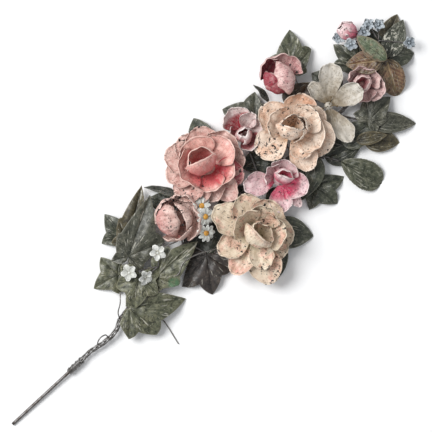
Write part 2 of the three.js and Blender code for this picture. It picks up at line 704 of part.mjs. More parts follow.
// Small flowers on short wires that meet
const floret = { count: 5, reach: 8, wide: 7, droop: 1, tips: [[-0.8, 1], [0.8, 1]] };
const smallFloret = { ...floret, reach: 6.5, wide: 5.8 };
const daisy = { count: 8, reach: 10.5, wide: 5.4, droop: 3, tips: [[-1, 1], [1, 1]] };
const sprigs = {
  florets_white: {
    slot: "white",
    meet: [-66, 10, 16],
    florets: [
      { ...floret, middle: [-91, 26, 22], lean: 10, towards: 120 },
      { ...floret, middle: [-83, 12, 22], lean: 35, towards: -80 },
      { ...floret, middle: [-57, 20, 24], lean: 10, towards: 0 },
    ],
  },
  daisies: {
    slot: "white",
    meet: [2, 6, 14],
    florets: [
      { ...daisy, middle: [7, 22, 25], lean: 10, towards: 60 },
      { ...daisy, middle: [2, 12, 29], lean: 30, towards: -60 },
      { ...daisy, middle: [-9, 0, 26], lean: 30, towards: -80 },
    ],
  },
  florets_blue_inner: {
    slot: "pale_blue",
    meet: [236, 22, 12],
    florets: [
      { ...smallFloret, middle: [222, 44, 15], lean: 30, towards: 180 },
      { ...smallFloret, middle: [226, 31, 19], lean: 20, towards: 200 },
      { ...smallFloret, middle: [244, 30, 15], lean: 10, towards: 90 },
    ],
  },
  florets_blue_tip: {
    slot: "pale_blue",
    meet: [248, 14, 14],
    florets: [
      { ...smallFloret, middle: [252, 32, 17], lean: 20, towards: 120 },
      { ...smallFloret, middle: [259, 25, 18], lean: 10, towards: 60 },
      { ...smallFloret, middle: [268, -9, 13], lean: 20, towards: -30 },
    ],
  },
};

// The leaves, from the ones on top down: where the wire joins, where the tip is, and the width, or
// the side lobes of an ivy leaf.
const leaves = {
  light_leaf: { slot: "ivy_green", from: [239, -5, 23], to: [235, 32, 24], wide: 17, swell: 0.6, taper: 0.75 },
  leaf_bronze_inner: { slot: "bronze_brown", from: [236, -2, 18], to: [208, 20, 11], wide: 24 },
  leaf_bronze_low: { slot: "bronze_brown", from: [240, -5, 14], to: [223, -38, 0.3], wide: 26, swell: 0.5, taper: 0.6 },
  leaf_tip_spotted: { slot: "ivy_green", from: [243, -3, 11], to: [281, 11.5, 3], wide: 22 },
  leaf_tip_back: { slot: "dark_green", from: [249, 7, 6], to: [280.5, 19.5, 0.3], wide: 20 },
  leaf_tip_low: { slot: "dark_green", from: [243, -6, 12], to: [265, -20, 0.3], wide: 20 },
  leaf_tip_small: { slot: "ivy_green", from: [244, 9, 7], to: [250, 31, 6], wide: 14 },
  ivy_upper_right: { slot: "dark_green", from: [218, 8, 6], to: [214, 43, 4], lobes: [[37, 0.79], [-44, 0.65], [95, 0.4]] },
  leaf_under_dusty: { slot: "dark_green", from: [229, 4, 3], to: [212, -13, 2], arch: 0, wide: 22 },
  leaf_behind_lily: { slot: "dark_green", from: [187, 6, 10], to: [178, 38, 7], wide: 28 },
  ivy_top_right: { slot: "ivy_green", from: [166, 53, 9], to: [193.5, 84.5, 0.3], lobes: [[-43, 0.69], [67, 0.68], [-97, 0.32], [115, 0.3]] },
  leaf_bronze_top: { slot: "bronze_brown", from: [138, 25, 12], to: [170, 33, 11], wide: 36 },
  leaf_narrow_top: { slot: "dark_green", from: [127, 48, 12], to: [128.5, 71, 11], wide: 12, roll: 60 },
  ivy_top_middle: { slot: "ivy_green", from: [106, 46, 10], to: [90, 76, 1], lobes: [[36, 0.9], [-71, 0.77], [-115, 0.5]] },
  leaf_over_rose: { slot: "ivy_green", from: [52, 62, 9], to: [63.5, 90, 0.3], wide: 24 },
  ivy_over_foot: { slot: "ivy_green", from: [-86, 17, 17], to: [-114, -3, 12], lobes: [[55, 0.75], [-55, 0.75], [108, 0.6], [-108, 0.6]] },
  ivy_centre: { slot: "ivy_green", from: [-75, 4, 13], to: [-21, 0, 12], lobes: [[34, 0.58], [-61, 0.44], [-132, 0.3]] },
  ivy_grey_front: { slot: "ivy_green", from: [-80, 38, 14], to: [-22, 66, 13], lobes: [[-48, 0.6], [50, 0.35], [125, 0.28], [-120, 0.3]] },
  ivy_grey_back: { slot: "dark_green", from: [-70, 48, 7.5], to: [-21, 79, 6], lobes: [[-40, 0.4], [40, 0.4], [105, 0.3], [-105, 0.3]] },
  leaf_edge_on: { slot: "dark_green", from: [-3, 42, 10], to: [-20.5, 76, 6], wide: 17, roll: 62 },
  leaf_behind_bud: { slot: "dark_green", from: [-12, 40, 5], to: [-25, 65, 3], wide: 22 },
  ivy_left: { slot: "ivy_green", from: [-101, 33, 7], to: [-127.5, 40, 0.3], lobes: [[-74, 0.87], [66, 0.69], [-125, 0.5], [115, 0.4]] },
  ivy_top_left: { slot: "dark_green", from: [-70, 55, 4], to: [-67.5, 85, 0.3], lobes: [[65, 0.77], [122, 0.4], [-55, 0.6], [-110, 0.4]] },
  ivy_foot: { slot: "ivy_green", from: [-116, 1, 12.5], to: [-70, -32, 0.3], lobes: [[-53, 0.66], [-99, 0.53], [64, 0.36]] },
  ivy_bronze: { slot: "bronze_brown", from: [-24, -16, 7], to: [-48, -48, 0.3], lobes: [[-45, 1], [49, 0.72], [-88, 0.5]] },
  leaf_dark_left: { slot: "dark_green", from: [4, 2, 3], to: [-44, -6, 2], arch: 0.02, wide: 36 },
  leaf_between: { slot: "dark_green", from: [52, -2, 3], to: [18, 12, 3], arch: 0.02, wide: 20 },
  leaf_dark_middle: { slot: "dark_green", from: [97, 4, 4], to: [62, 22, 3], arch: 0.02, wide: 30 },
  leaf_grey_middle: { slot: "dark_green", from: [70, -15, 4], to: [56, -42, 3], wide: 20 },
  leaf_cream_right: { slot: "dark_green", from: [40, -45, 8], to: [64.5, -78, 0.3], wide: 32 },
  leaf_cream_low: { slot: "dark_green", from: [34, -56, 7], to: [10, -83, 0.3], wide: 22 },
  leaf_wide_dark: { slot: "dark_green", from: [120, -14, 9], to: [80, -44, 3], wide: 40 },
  ivy_low: { slot: "dark_green", from: [100, -42, 3], to: [104.5, -72, 0.3], lobes: [[-62, 0.8], [52, 1.07], [-105, 0.4], [95, 0.5]] },
  leaf_serrated_low: { slot: "ivy_green", from: [136.5, -45, 8], to: [150.5, -90, 0.3], wide: 29, swell: 0.75, taper: 0.45 },
  leaf_narrow_curl: { slot: "ivy_green", from: [162, -41, 12], to: [188, -58.5, 8], wide: 13 },
  ivy_right_low: { slot: "dark_green", from: [185, -36, 12], to: [217.5, -34, 4], lobes: [[50, 0.74], [-50, 0.5], [105, 0.5], [-105, 0.4]] },
  leaf_long_point: { slot: "ivy_green", from: [185, -37, 9], to: [216.5, -71, 0.3], wide: 21 },
  leaf_point_low: { slot: "dark_green", from: [170, -44, 4], to: [191.5, -73, 0.3], wide: 25 },
  leaf_under_lily: { slot: "dark_green", from: [128, -31, 3], to: [164, -47, 2], arch: 0.02, wide: 26 },
  leaf_low_right: { slot: "dark_green", from: [150, -34, 8], to: [188, -40, 8], arch: 0.02, wide: 26 },
};

// Where a leaf's wire ends: under the leaf, clear of it, on the side away from the tip.
function underside(leaf) {
  const below = ((branchDiameter + sheetThickness) / 2 + clearance) / scale + 0.1;
  return new THREE.Vector3(-below, 0, -below).applyMatrix4(leafMatrix({ ...leaf, roll: 0 })).divideScalar(scale).toArray();
}

// Wires that show on their own
const looseWires = [
  [[-131, 0, 6], [-127, 6, 12], [-119, 11, 16], [-111, 19, 15]],
  [[-114, 3, 7.5], [-105, -12, 3], [-101, -30, 1.2], [-107, -59, 0.9]],
  [[-70, 8, 9], [-58, 20, 19], [-48, 19, 21], [-34, 14, 19]],
  [[-75, 8, 9], [-60, -9, 17], [-46, -5, 19], [-30, -9, 17], [-12, -19, 12]],
];

// Every wire that branches from the trunk, in one bundle with it.
function wireBundle(margin = 0) {
  const leafEnds = Object.values(leaves).map((leaf) => branch(underside(leaf), margin));
  const flowerEnds = Object.values(flowers)
    .filter(({ whorls }) => whorls[0].middle[2] < 17)
    .map(({ whorls: [{ middle: [x, y, z] }] }) => branch([x, y, z - 1], margin, 5));
  const sprigEnds = Object.values(sprigs).map(({ meet: [x, y, z] }) => branch([x, y, z], margin));
  const loose = looseWires.map((route) => wire(route.map((p) => at(...p)), branchDiameter + 2 * margin, 5, 3));
  const trunk = wire(trunkCurve, trunkDiameter + 2 * margin, 9, 5);
  return mainBody(wasm.Manifold.union([trunk, ...leafEnds, ...flowerEnds, ...sprigEnds, ...loose]));
}

// The pieces, each before the ones that leave room for it
const pieces = [
  ["stem_rod", "bare_wire", stemRod],
  ["stem_binding", "bare_wire", stemBinding],
  ...Object.entries(flowers).reverse().map(([name, made]) => [name, made.slot, (margin) => flower(made, margin)]),
  ...Object.entries(sprigs).map(([name, made]) => [name, made.slot, (margin) => sprig(made, margin)]),
  ["wire_bundle", "bare_wire", wireBundle],
  ...Object.entries(leaves).map(([name, made]) => [name, made.slot, (margin) => leafSolid(made, margin)]),
];

const boxesMeet = (a, b) => {
  const [first, second] = [a.boundingBox(), b.boundingBox()];
  return [0, 1, 2].every((i) => first.min[i] <= second.max[i] && second.min[i] <= first.max[i]);
};

const spray = new THREE.Group();
spray.name = "tole_flower_spray";
const rooms = [];
for (const [name, slot, make] of pieces) {
  const whole = make(0);
  const near = rooms.filter((room) => boxesMeet(room, whole));
  const cut = mainBody(near.length ? whole.subtract(wasm.Manifold.union(near)) : whole);
  const solid = mainBody(solidOf(geometryOf(cut.simplify(smallestDetail))));
  rooms.push(make(clearance));
  const mesh = new THREE.Mesh(geometryOf(solid), finishes[slot]);
  mesh.name = name;
  spray.add(mesh);
}

// The origin goes to the middle of the footprint, on the surface below.
const bounds = new THREE.Box3().setFromObject(spray);
const middle = bounds.getCenter(new THREE.Vector3());
for (const mesh of spray.children) mesh.geometry.translate(-middle.x, -middle.y, -bounds.min.z);

export default spray;
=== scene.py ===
# Painted tin flower spray, lying on its back on a pale floor.
# Layout sizes are millimetres in the spray's own frame: +X from the stem rod to the tip, +Z up.
import math
import bpy
import numpy as np
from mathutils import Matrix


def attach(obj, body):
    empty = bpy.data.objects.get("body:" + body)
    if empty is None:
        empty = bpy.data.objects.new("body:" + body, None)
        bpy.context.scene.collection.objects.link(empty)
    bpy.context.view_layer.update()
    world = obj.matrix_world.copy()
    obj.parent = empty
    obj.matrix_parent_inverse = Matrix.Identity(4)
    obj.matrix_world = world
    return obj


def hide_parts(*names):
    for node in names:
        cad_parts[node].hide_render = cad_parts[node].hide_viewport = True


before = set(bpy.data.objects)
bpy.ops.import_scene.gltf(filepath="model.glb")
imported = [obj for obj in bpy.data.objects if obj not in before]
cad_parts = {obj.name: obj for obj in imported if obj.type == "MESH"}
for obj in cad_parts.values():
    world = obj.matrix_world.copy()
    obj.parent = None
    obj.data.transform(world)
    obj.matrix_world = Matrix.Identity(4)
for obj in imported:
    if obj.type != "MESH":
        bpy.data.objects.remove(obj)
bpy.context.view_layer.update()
print("frame loaded")

mm = 0.001
# the painted sheet with its dents, and the least height of metal and of leaves over the floor
tin = {"thickness": 0.5, "dent": 0.4, "dentSize": 9, "lowest": 0.02, "leafLowest": 0.3}
surfaceFields = ("reach", "side", "rim", "stain", "tint", "vein", "tone")  # what the paint follows on a sheet
floretFields = ("reach", "side", "rim", "tone")  # the ones that a node tree carries along


def camelName(node):
    first, *others = node.split("_")
    return first + "".join(word.capitalize() for word in others)


def addObject(name, data):
    made = bpy.data.objects.new(name, data)
    bpy.context.scene.collection.objects.link(made)
    return made


# Nodes and materials


def linearColour(code):
    # sRGB hex to the linear values that a shader takes
    parts = [int(code[i:i + 2], 16) / 255 for i in (1, 3, 5)]
    return [p / 12.92 if p < 0.04045 else ((p + 0.055) / 1.055) ** 2.4 for p in parts] + [1]


def addNode(tree, kind, settings=None, links=None):
    # one node with its settings; a link is another node's socket or a plain value
    made = tree.nodes.new(kind)
    for key, value in (settings or {}).items():
        setattr(made, key, value)
    for key, value in (links or {}).items():
        if isinstance(value, bpy.types.NodeSocket):
            tree.links.new(value, made.inputs[key])
        else:
            made.inputs[key].default_value = value
    return made


def newMaterial(name):
    material = bpy.data.materials.new(name)
    material.use_nodes = True
    material.node_tree.nodes.clear()
    return material, material.node_tree


def paintedTin(name, look):
    # Oil paint brushed by hand on pressed tinplate: satin, streaked from root to rim, mottled with age,
    # painted shade and some grime in the hollows, a painted shade band just inside the rims,
    # and dark tin showing where paint has flaked off
    material, tree = newMaterial(name)
    place = addNode(tree, "ShaderNodeTexCoord").outputs["Object"]
    value = {}
    for key in surfaceFields:
        value[key] = addNode(tree, "ShaderNodeAttribute", {"attribute_name": key}).outputs["Fac"]

    # brush strokes run along reach, and each petal has its own
    stretch = []
    for key, size in (("reach", 2.4), ("side", 15), ("tone", 20)):
        factors = {0: value[key], 1: size * mm}
        stretch.append(addNode(tree, "ShaderNodeMath", {"operation": "MULTIPLY"}, factors).outputs[0])
    brushed = addNode(tree, "ShaderNodeCombineXYZ", None, dict(enumerate(stretch))).outputs[0]

    # size of one blotch in mm; under 1 mm is drawn coarser than real grit, so that it shows
    for key, source, size, detail, rough in (
            ("broad", place, 13, 3, 0.55), ("middle", place, 4.6, 4, 0.6), ("fine", place, 1.9, 3, 0.6),
            ("grain", place, 0.8, 2, 0.5), ("wear", place, 28, 2, 0.5),
            ("islands", place, look["chipSize"], 5, 0.62),
            ("spray", place, look["fleckSize"], 3, 0.6), ("strokes", brushed, 1.3, 3, 0.6),
            ("scratch", brushed, 0.75, 2, 0.5)):
        noise = {"Vector": source, "Scale": 1 / (size * mm), "Detail": detail, "Roughness": rough}
        value[key] = addNode(tree, "ShaderNodeTexNoise", None, noise).outputs["Fac"]

    # base + factor * other
    for key, base, factor, other in (
            ("deep", "reach", 0.55, "broad"), ("tinge", "tint", 0.5, "middle"),
            ("worn", "islands", 0.31, "wear"), ("speckled", "fine", 0.35, "broad"),
            ("flaked", "worn", 0.045, "rim"), ("sprayed", "spray", 0.16, "wear"),
            ("scratched", "scratch", 0.2, "broad"), ("relief", "strokes", 0.6, "grain"),
            ("pitted", "relief", 0.5, "fine")):
        value[key] = addNode(tree, "ShaderNodeMath", {"operation": "MULTIPLY_ADD"},
                             {0: value[other], 1: factor, 2: value[base]}).outputs[0]

    # a soft step from one share to another where the source passes from low to high
    rootEnd = 0.27  # what the broad blotches add to reach, on average
    for key, source, low, high, before, after in (
            ("bodyShare", "deep", rootEnd, look["rootTo"] + rootEnd, 0, 1),
            ("blotchShare", "broad", 0.48, 0.62, 0, look["blotches"]),
            ("petalShare", "tone", -1, 1, 0, look["uneven"]),
            ("mottleShare", "middle", 0.5, 0.66, 0, look["mottle"]),
            ("paleShare", "middle", 0.5, 0.34, 0, look["pale"]),
            ("specks", "speckled", 0.72, 0.83, 0, look["specks"]),
            ("strokeShare", "strokes", 0.48, 0.68, 0, look["streaks"]),
            ("tintShare", "tinge", 0.36, 0.9, 0, 1),
            ("bandUp", "rim", 0.04, 0.4, 0, look["underRimShade"]),
            ("bandDown", "rim", 0.85, 0.5, 0, 1),
            ("rimEven", "middle", 0.34, 0.56, 0.35, look["rimShare"]),
            ("stainEven", "middle", 0.3, 0.55, 0.4, 1),
            ("chips", "flaked", look["chipFrom"], look["chipFrom"] + 0.016, 0, 1),
            ("flecks", "sprayed", look["fleckFrom"], look["fleckFrom"] + 0.03, 0, look["flecks"]),
            ("scratches", "scratched", 0.735, 0.78, 0, look["scratches"]),
            ("satin", "middle", 0.3, 0.7, look["gloss"], look["gloss"] + 0.22)):
        step = {"Value": value[source], "From Min": low, "From Max": high, "To Min": before, "To Max": after}
        value[key] = addNode(
            tree, "ShaderNodeMapRange", {"interpolation_type": "SMOOTHSTEP"}, step).outputs["Result"]
    # painted shade with some grime: the dark coat gathers where other petals of the same piece close in on
    # the sheet
    near = {"samples": 5, "only_local": True}
    hollow = addNode(tree, "ShaderNodeAmbientOcclusion", near, {"Distance": 7 * mm})
    hollowShading = {"Value": hollow.outputs["AO"], "From Min": 0.75, "From Max": 0.15, "To Min": 0,
               "To Max": look["grime"]}
    value["grime"] = addNode(tree, "ShaderNodeMapRange", None, hollowShading).outputs["Result"]
    value["veinStrength"] = look["veins"]
    # the band just inside the rim is painted shade, as if under a rolled edge
    for key, one, other in (
            ("band", "bandUp", "bandDown"), ("rimmed", "rim", "rimEven"), ("stained", "stain", "stainEven"),
            ("tinted", "tintShare", "tint"), ("veined", "vein", "veinStrength")):
        value[key] = addNode(tree, "ShaderNodeMath", {"operation": "MULTIPLY"},
                             {0: value[one], 1: value[other]}).outputs[0]

    # coats of colour, one over the other; the band inside the rim and the darkening in the hollows are
    # painted shade
    colour = linearColour(look["root"])
    for share, coat in (
            ("bodyShare", "body"), ("blotchShare", "blotch"), ("petalShare", "shade"), ("tinted", "second"),
            ("mottleShare", "shade"), ("paleShare", "rim"), ("strokeShare", "shade"), ("specks", "dirt"),
            ("band", "dirt"), ("veined", "veinColour"), ("rimmed", "rim"), ("stained", "stain"),
            ("grime", "dirt"), ("flecks", "fleck"), ("scratches", "fleck"), ("chips", "bare")):
        colour = addNode(tree, "ShaderNodeMix", {"data_type": "RGBA"},
                         {0: value[share], 6: colour, 7: linearColour(look[coat])}).outputs[2]

    chipDepth, grimeDull = -0.7, 0.2
    for key, source, factor, base in (
            ("height", "chips", chipDepth, "pitted"), ("rough", "grime", grimeDull, "satin")):
        value[key] = addNode(tree, "ShaderNodeMath", {"operation": "MULTIPLY_ADD"},
                             {0: value[source], 1: factor, 2: value[base]}).outputs[0]
    bump = addNode(tree, "ShaderNodeBump", None, {
        "Strength": 0.55, "Distance": 0.35 * mm, "Height": value["height"]})
    shader = addNode(tree, "ShaderNodeBsdfPrincipled", None, {
        "Base Color": colour, "Roughness": value["rough"], "Normal": bump.outputs[0], "IOR": 1.48})
    addNode(tree, "ShaderNodeOutputMaterial", None, {"Surface": shader.outputs[0]})
    return material


# shares of each coat, thresholds where flakes and flecks set in, and their sizes in mm
# the one dark colour serves real dark specks and also the painted shade in hollows and inside rims
paintDefaults = {
    "rimShare": 0.7, "pale": 0.25, "blotches": 0.5, "uneven": 0.25, "mottle": 0.4, "streaks": 0.35,
    "second": "#b04050", "underRimShade": 0.45, "veins": 0.0, "veinColour": "#6b6a52", "stain": "#b04050",
    "dirt": "#5a4638", "specks": 0.3, "grime": 0.65, "bare": "#2a2421", "chipSize": 2.6,
    "fleck": "#c9c6b8", "flecks": 0.0, "fleckFrom": 0.72, "fleckSize": 1.8, "scratches": 0.0, "gloss": 0.36,
}
petalCoats = ("root", "body", "rim", "blotch", "shade", "dirt", "second")
leafCoats = ("root", "body", "rim", "blotch", "shade", "veinColour")


def paint(name, coats, colours, **look):
    return paintedTin("oilPainted" + name, {**paintDefaults, **dict(zip(coats, colours.split())), **look})


def wireMetal(name, colour, dull, rust):
    # Drawn iron wire gone dark with age: a grey metal with brown bloom along it
    material, tree = newMaterial(name)
    place = addNode(tree, "ShaderNodeTexCoord").outputs["Object"]
    noise = {}
    for key, size, detail in (("bloom", 5, 4), ("grain", 0.6, 2)):
        noise[key] = addNode(tree, "ShaderNodeTexNoise", None, {
            "Vector": place, "Scale": 1 / (size * mm), "Detail": detail}).outputs["Fac"]
    share = addNode(tree, "ShaderNodeMapRange", {"interpolation_type": "SMOOTHSTEP"}, {
        "Value": noise["bloom"], "From Min": 0.42, "From Max": 0.68, "To Max": 0.8}).outputs["Result"]
    shade = addNode(tree, "ShaderNodeMix", {"data_type": "RGBA"}, {
        0: share, 6: linearColour(colour), 7: linearColour(rust)}).outputs[2]
    rough = addNode(tree, "ShaderNodeMapRange", None, {
        "Value": noise["bloom"], "To Min": dull - 0.1, "To Max": dull + 0.2}).outputs["Result"]
    bump = addNode(tree, "ShaderNodeBump", None, {
        "Strength": 0.3, "Distance": 0.1 * mm, "Height": noise["grain"]})
    shader = addNode(tree, "ShaderNodeBsdfPrincipled", None, {
        "Base Color": shade, "Metallic": 0.75, "Roughness": rough, "Normal": bump.outputs[0]})
    addNode(tree, "ShaderNodeOutputMaterial", None, {"Surface": shader.outputs[0]})
    return material


# Sheets


def lerp(a, b, t):
    return a + (b - a) * t


def smooth(low, high, value):
    t = np.clip((value - low) / (high - low), 0, 1)
    return t * t * (3 - 2 * t)


def flatGrid(rows, columns):
    # every pair of a row value and a column value, as two flat arrays
    return [grid.ravel() for grid in np.meshgrid(rows, columns, indexing="ij")]


def gridFaces(rows, columns):
    corner = (np.arange(rows)[:, None] * (columns + 1) + np.arange(columns)[None, :]).ravel()
    return np.stack([corner, corner + 1, corner + columns + 2, corner + columns + 1], axis=1)


def dents(points):
    # uneven hand-worked tin: crossing waves of about one dent size, the same on each run
    depth = np.zeros(len(points))
    for k, (x, y, z) in enumerate(((1.0, 0.35, 0.5), (-0.45, 1.1, 0.3), (0.7, -0.9, 0.8), (0.2, 0.6, -1.3))):
        wave = tin["dentSize"] * (1 + 0.3 * k)
        depth += np.sin((points @ (x, y, z)) * 2 * math.pi / wave + 1.7 * k)
    return depth * tin["dent"] / 2


def unit(vectors):
    return vectors / np.maximum(np.linalg.norm(vectors, axis=1, keepdims=True), 1e-9)


def closeSheet(points, faces, fields):
    # gives a sheet its thickness and a rounded edge, as one closed shell facing out
    half = tin["thickness"] / 2
    count = len(points)
    normals = np.zeros_like(points)
    crossed = np.cross(points[faces[:, 2]] - points[faces[:, 0]], points[faces[:, -1]] - points[faces[:, 1]])
    for k in range(faces.shape[1]):
        np.add.at(normals, faces[:, k], crossed)
    normals = unit(normals)
    points = points + normals * dents(points)[:, None]
    start = faces.ravel()
    finish = np.roll(faces, -1, axis=1).ravel()
    keep = start != finish
    start, finish = start[keep], finish[keep]
    border = ~np.isin(start * count + finish, finish * count + start)
    start, finish = start[border], finish[border]
    outward = np.zeros_like(points)
    side = unit(np.cross(points[finish] - points[start], normals[start] + normals[finish]))
    np.add.at(outward, start, side)
    np.add.at(outward, finish, side)
    outward = unit(outward)
    rimPoints = np.unique(start)
    slot = np.zeros(count, dtype=int)
    slot[rimPoints] = 2 * count + np.arange(len(rimPoints))
    allPoints = np.concatenate([points + normals * half, points - normals * half,
                                points[rimPoints] + outward[rimPoints] * half])
    allFaces = np.concatenate([
        faces,
        faces[:, ::-1] + count,
        np.stack([finish, start, slot[start], slot[finish]], axis=1),
        np.stack([slot[finish], slot[start], start + count, finish + count], axis=1),
    ])
    shellFields = {key: np.concatenate([value, value, value[rimPoints]]) for key, value in fields.items()}
    return {"points": allPoints, "faces": allFaces.tolist(), "fields": shellFields, "finish": 0}


def placeShell(shell, turn, middle):
    shell["points"] = shell["points"] @ turn.T + np.array(middle)
    return shell


def leanTurn(lean, towards):
    # a whorl leans by `lean` degrees towards a heading
    heading, angle = math.radians(towards), math.radians(lean)
    x, y = -math.sin(heading), math.cos(heading)
    c, s = math.cos(angle), math.sin(angle)
    return np.array([
        [c + x * x * (1 - c), x * y * (1 - c), y * s],
        [y * x * (1 - c), c + y * y * (1 - c), -x * s],
        [-y * s, x * s, c],
    ])


def uniqueCorners(row):
    return list(dict.fromkeys(row))


def setField(mesh, key, values):
    mesh.attributes.new(key, "FLOAT", "POINT").data.foreach_set("value", values.astype(np.float32))


def makePiece(node, shells, finishes, spots=()):
    # joins closed shells into one plain mesh that stands for a CAD node; spots are stains (x, y, radius)
    name = camelName(node)
    points = np.concatenate([shell["points"] for shell in shells])
    points[:, 2] = np.maximum(points[:, 2], tin["lowest"])
    polygons, indexes, first = [], [], 0
    for shell in shells:
        for row in shell["faces"]:
            corners = uniqueCorners(row)
            if len(corners) > 2:
                polygons.append([corner + first for corner in corners])
                indexes.append(shell["finish"])
        first += len(shell["points"])
    mesh = bpy.data.meshes.new(name)
    mesh.from_pydata((points * mm).tolist(), [], polygons)
    mesh.polygons.foreach_set("material_index", indexes)
    mesh.polygons.foreach_set("use_smooth", [True] * len(polygons))
    for key in surfaceFields:
        values = np.concatenate([
            shell["fields"].get(key, np.zeros(len(shell["points"]))) for shell in shells])
        if key == "stain":
            for x, y, radius in spots:
                away = np.hypot(points[:, 0] - x, points[:, 1] - y)
                values = np.maximum(values, 1 - smooth(0.45, 1.1, away / radius))
        setField(mesh, key, values)
    for finish in finishes:
        mesh.materials.append(finish)
    mesh.update()
    piece = addObject(name, mesh)
    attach(piece, "root")
    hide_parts(node)


# Bars and routes


def tubeShell(route, diameter, sides=10, finish=0, taper=1.0):
    # a closed round bar along a route
    route = np.array(route, dtype=float)
    ahead = np.gradient(route, axis=0)
    ahead /= np.linalg.norm(ahead, axis=1, keepdims=True)
    steep = 0.9
    helper = np.array([0.0, 0.0, 1.0] if abs(ahead[:, 2]).max() < steep else [0.93, 0.37, 0.0])
    side = np.cross(helper, ahead)
    side /= np.linalg.norm(side, axis=1, keepdims=True)
    over = np.cross(ahead, side)
    turn = np.arange(sides) * 2 * math.pi / sides
    count = len(route)
    size = np.linspace(1, taper, count)[:, None, None] * diameter / 2
    spokes = np.cos(turn)[None, :, None] * side[:, None, :] + np.sin(turn)[None, :, None] * over[:, None, :]
    ring = route[:, None, :] + size * spokes
    points = np.concatenate([ring.reshape(-1, 3), route[:1], route[-1:]])
    i, k = flatGrid(np.arange(count - 1), np.arange(sides))
    nextK = (k + 1) % sides
    faces = np.stack([i * sides + k, i * sides + nextK, (i + 1) * sides + nextK, (i + 1) * sides + k], axis=1)
    k = np.arange(sides)
    nextK = (k + 1) % sides
    low, high = np.full(sides, count * sides), np.full(sides, count * sides + 1)
    last = (count - 1) * sides
    caps = [np.stack([nextK, k, low, low], axis=1), np.stack([last + k, last + nextK, high, high], axis=1)]
    along = np.concatenate([np.repeat(np.linspace(0, 1, count), sides), [0, 1]])
    faces = np.concatenate([faces, *caps])
    return {"points": points, "faces": faces.tolist(), "fields": {"reach": along}, "finish": finish}


def smoothRoute(route, steps):
    # a Catmull-Rom curve through points
    points = np.array(route, dtype=float)
    padded = np.concatenate([2 * points[:1] - points[1:2], points, 2 * points[-1:] - points[-2:-1]])
    made = []
    for t in np.linspace(0, len(points) - 1, steps + 1):
        i = min(int(t), len(points) - 2)
        f = t - i
        a, b, c, d = padded[i:i + 4]
        curved = (2 * a - 5 * b + 4 * c - d) * f * f + (3 * b - a - 3 * c + d) * f ** 3
        made.append(0.5 * (2 * b + (c - a) * f + curved))
    return np.array(made)


# Petals

petalColumns = ("at", "reach", "wide", "rise", "end")
petalDefaults = {
    "wrap": 40, "round": 0.22, "bend": 1.4, "belly": 0.65, "spiral": 0, "ruffle": 0.7, "lip": 0.9,
    "lipWidth": 2.8, "puff": 1.2, "crease": 0.35, "tint": (0, 0, 1),
}


def petalPoints(petal, u, s):
    # u runs from root to rim, s across from -1 to 1; the petal climbs at `rise` degrees and ends at `end`
    reach, phase = petal["reach"], petal["phase"]
    ragged = 0.022 + (0.016 * np.sin(7.5 * s + phase) + 0.007 * np.sin(19 * s + 3 * phase)) * 0.55
    along = u * (1 - petal["round"] * np.abs(s) ** 2.2 * u - ragged * u ** 3)
    steps = 16
    radius = np.full_like(u, float(petal["from"]))
    height = np.zeros_like(u)
    for k in range(steps):
        slope = np.radians(lerp(petal["rise"], petal["end"], ((k + 0.5) / steps * along) ** petal["bend"]))
        radius += np.cos(slope) * reach * along / steps
        height += np.sin(slope) * reach * along / steps
    slope = np.radians(lerp(petal["rise"], petal["end"], along ** petal["bend"]))

    # width and wrap round the flower's middle
    broad = np.sin(math.pi / 2 * np.minimum(1, u / petal["belly"]))
    narrowing = 1 - 0.2 * (np.maximum(0, u - 0.65) / 0.35) ** 2
    halfWidth = lerp(petal["root"], petal["wide"] / 2 * narrowing, broad)
    turn = math.radians(petal["wrap"]) / 2
    across = halfWidth / turn * np.sin(s * turn)
    inward = halfWidth / turn * (1 - np.cos(s * turn)) + petal["spiral"] * s * lerp(0.5, 1, u)

    # hand work on the sheet: ruffled edge, folded lip, puffed middle, crease along it
    toRim = np.minimum((1 - np.abs(s)) * halfWidth + (1 - u) * 4, (1 - u) * reach)
    wave = np.sin(2.4 * math.pi * s + phase) + 0.5 * np.sin(5.3 * s + 2.1 * phase)
    wave = wave + 0.28 * np.sin(13 * s + 4 * u + 1.3 * phase)
    inward = inward + petal["ruffle"] * smooth(0.45, 1, u) * wave * smooth(0, 0.6, np.abs(s) + u - 0.6)
    inward = inward + petal["lip"] * (1 - smooth(0, petal["lipWidth"], toRim))
    inward = inward - petal["puff"] * (1 - s * s) * np.sin(math.pi * np.minimum(u, 1)) ** 1.3
    crease = np.exp(-(s / 0.12) ** 2) * smooth(0.1, 0.4, u) * (1 - smooth(0.6, 0.95, u))
    inward = inward + petal["crease"] * crease
    radius = radius - np.sin(slope) * inward
    height = height + np.cos(slope) * inward
    heading = math.radians(petal["at"])
    points = np.stack([radius * math.cos(heading) - across * math.sin(heading),
                       radius * math.sin(heading) + across * math.cos(heading), height], axis=1)
    return points, 1 - smooth(0.3, 2.9, toRim)


def petalShell(petal, cells=30):
    u, s = flatGrid(np.linspace(0, 1, cells + 1) ** 0.85, np.linspace(-1, 1, cells + 1))
    points, rim = petalPoints(petal, u, s)
    tone = np.full_like(u, math.sin(7.3 * petal["phase"]))
    share, low, high = petal["tint"]  # how much of the second colour, and where along the petal it sets in
    tint = share * (smooth(low, high, u) if high > low else 1 - smooth(high, low, u))
    fields = {"reach": u, "side": s, "rim": rim, "tint": tint, "tone": tone}
    return closeSheet(points, gridFaces(cells, cells), fields)


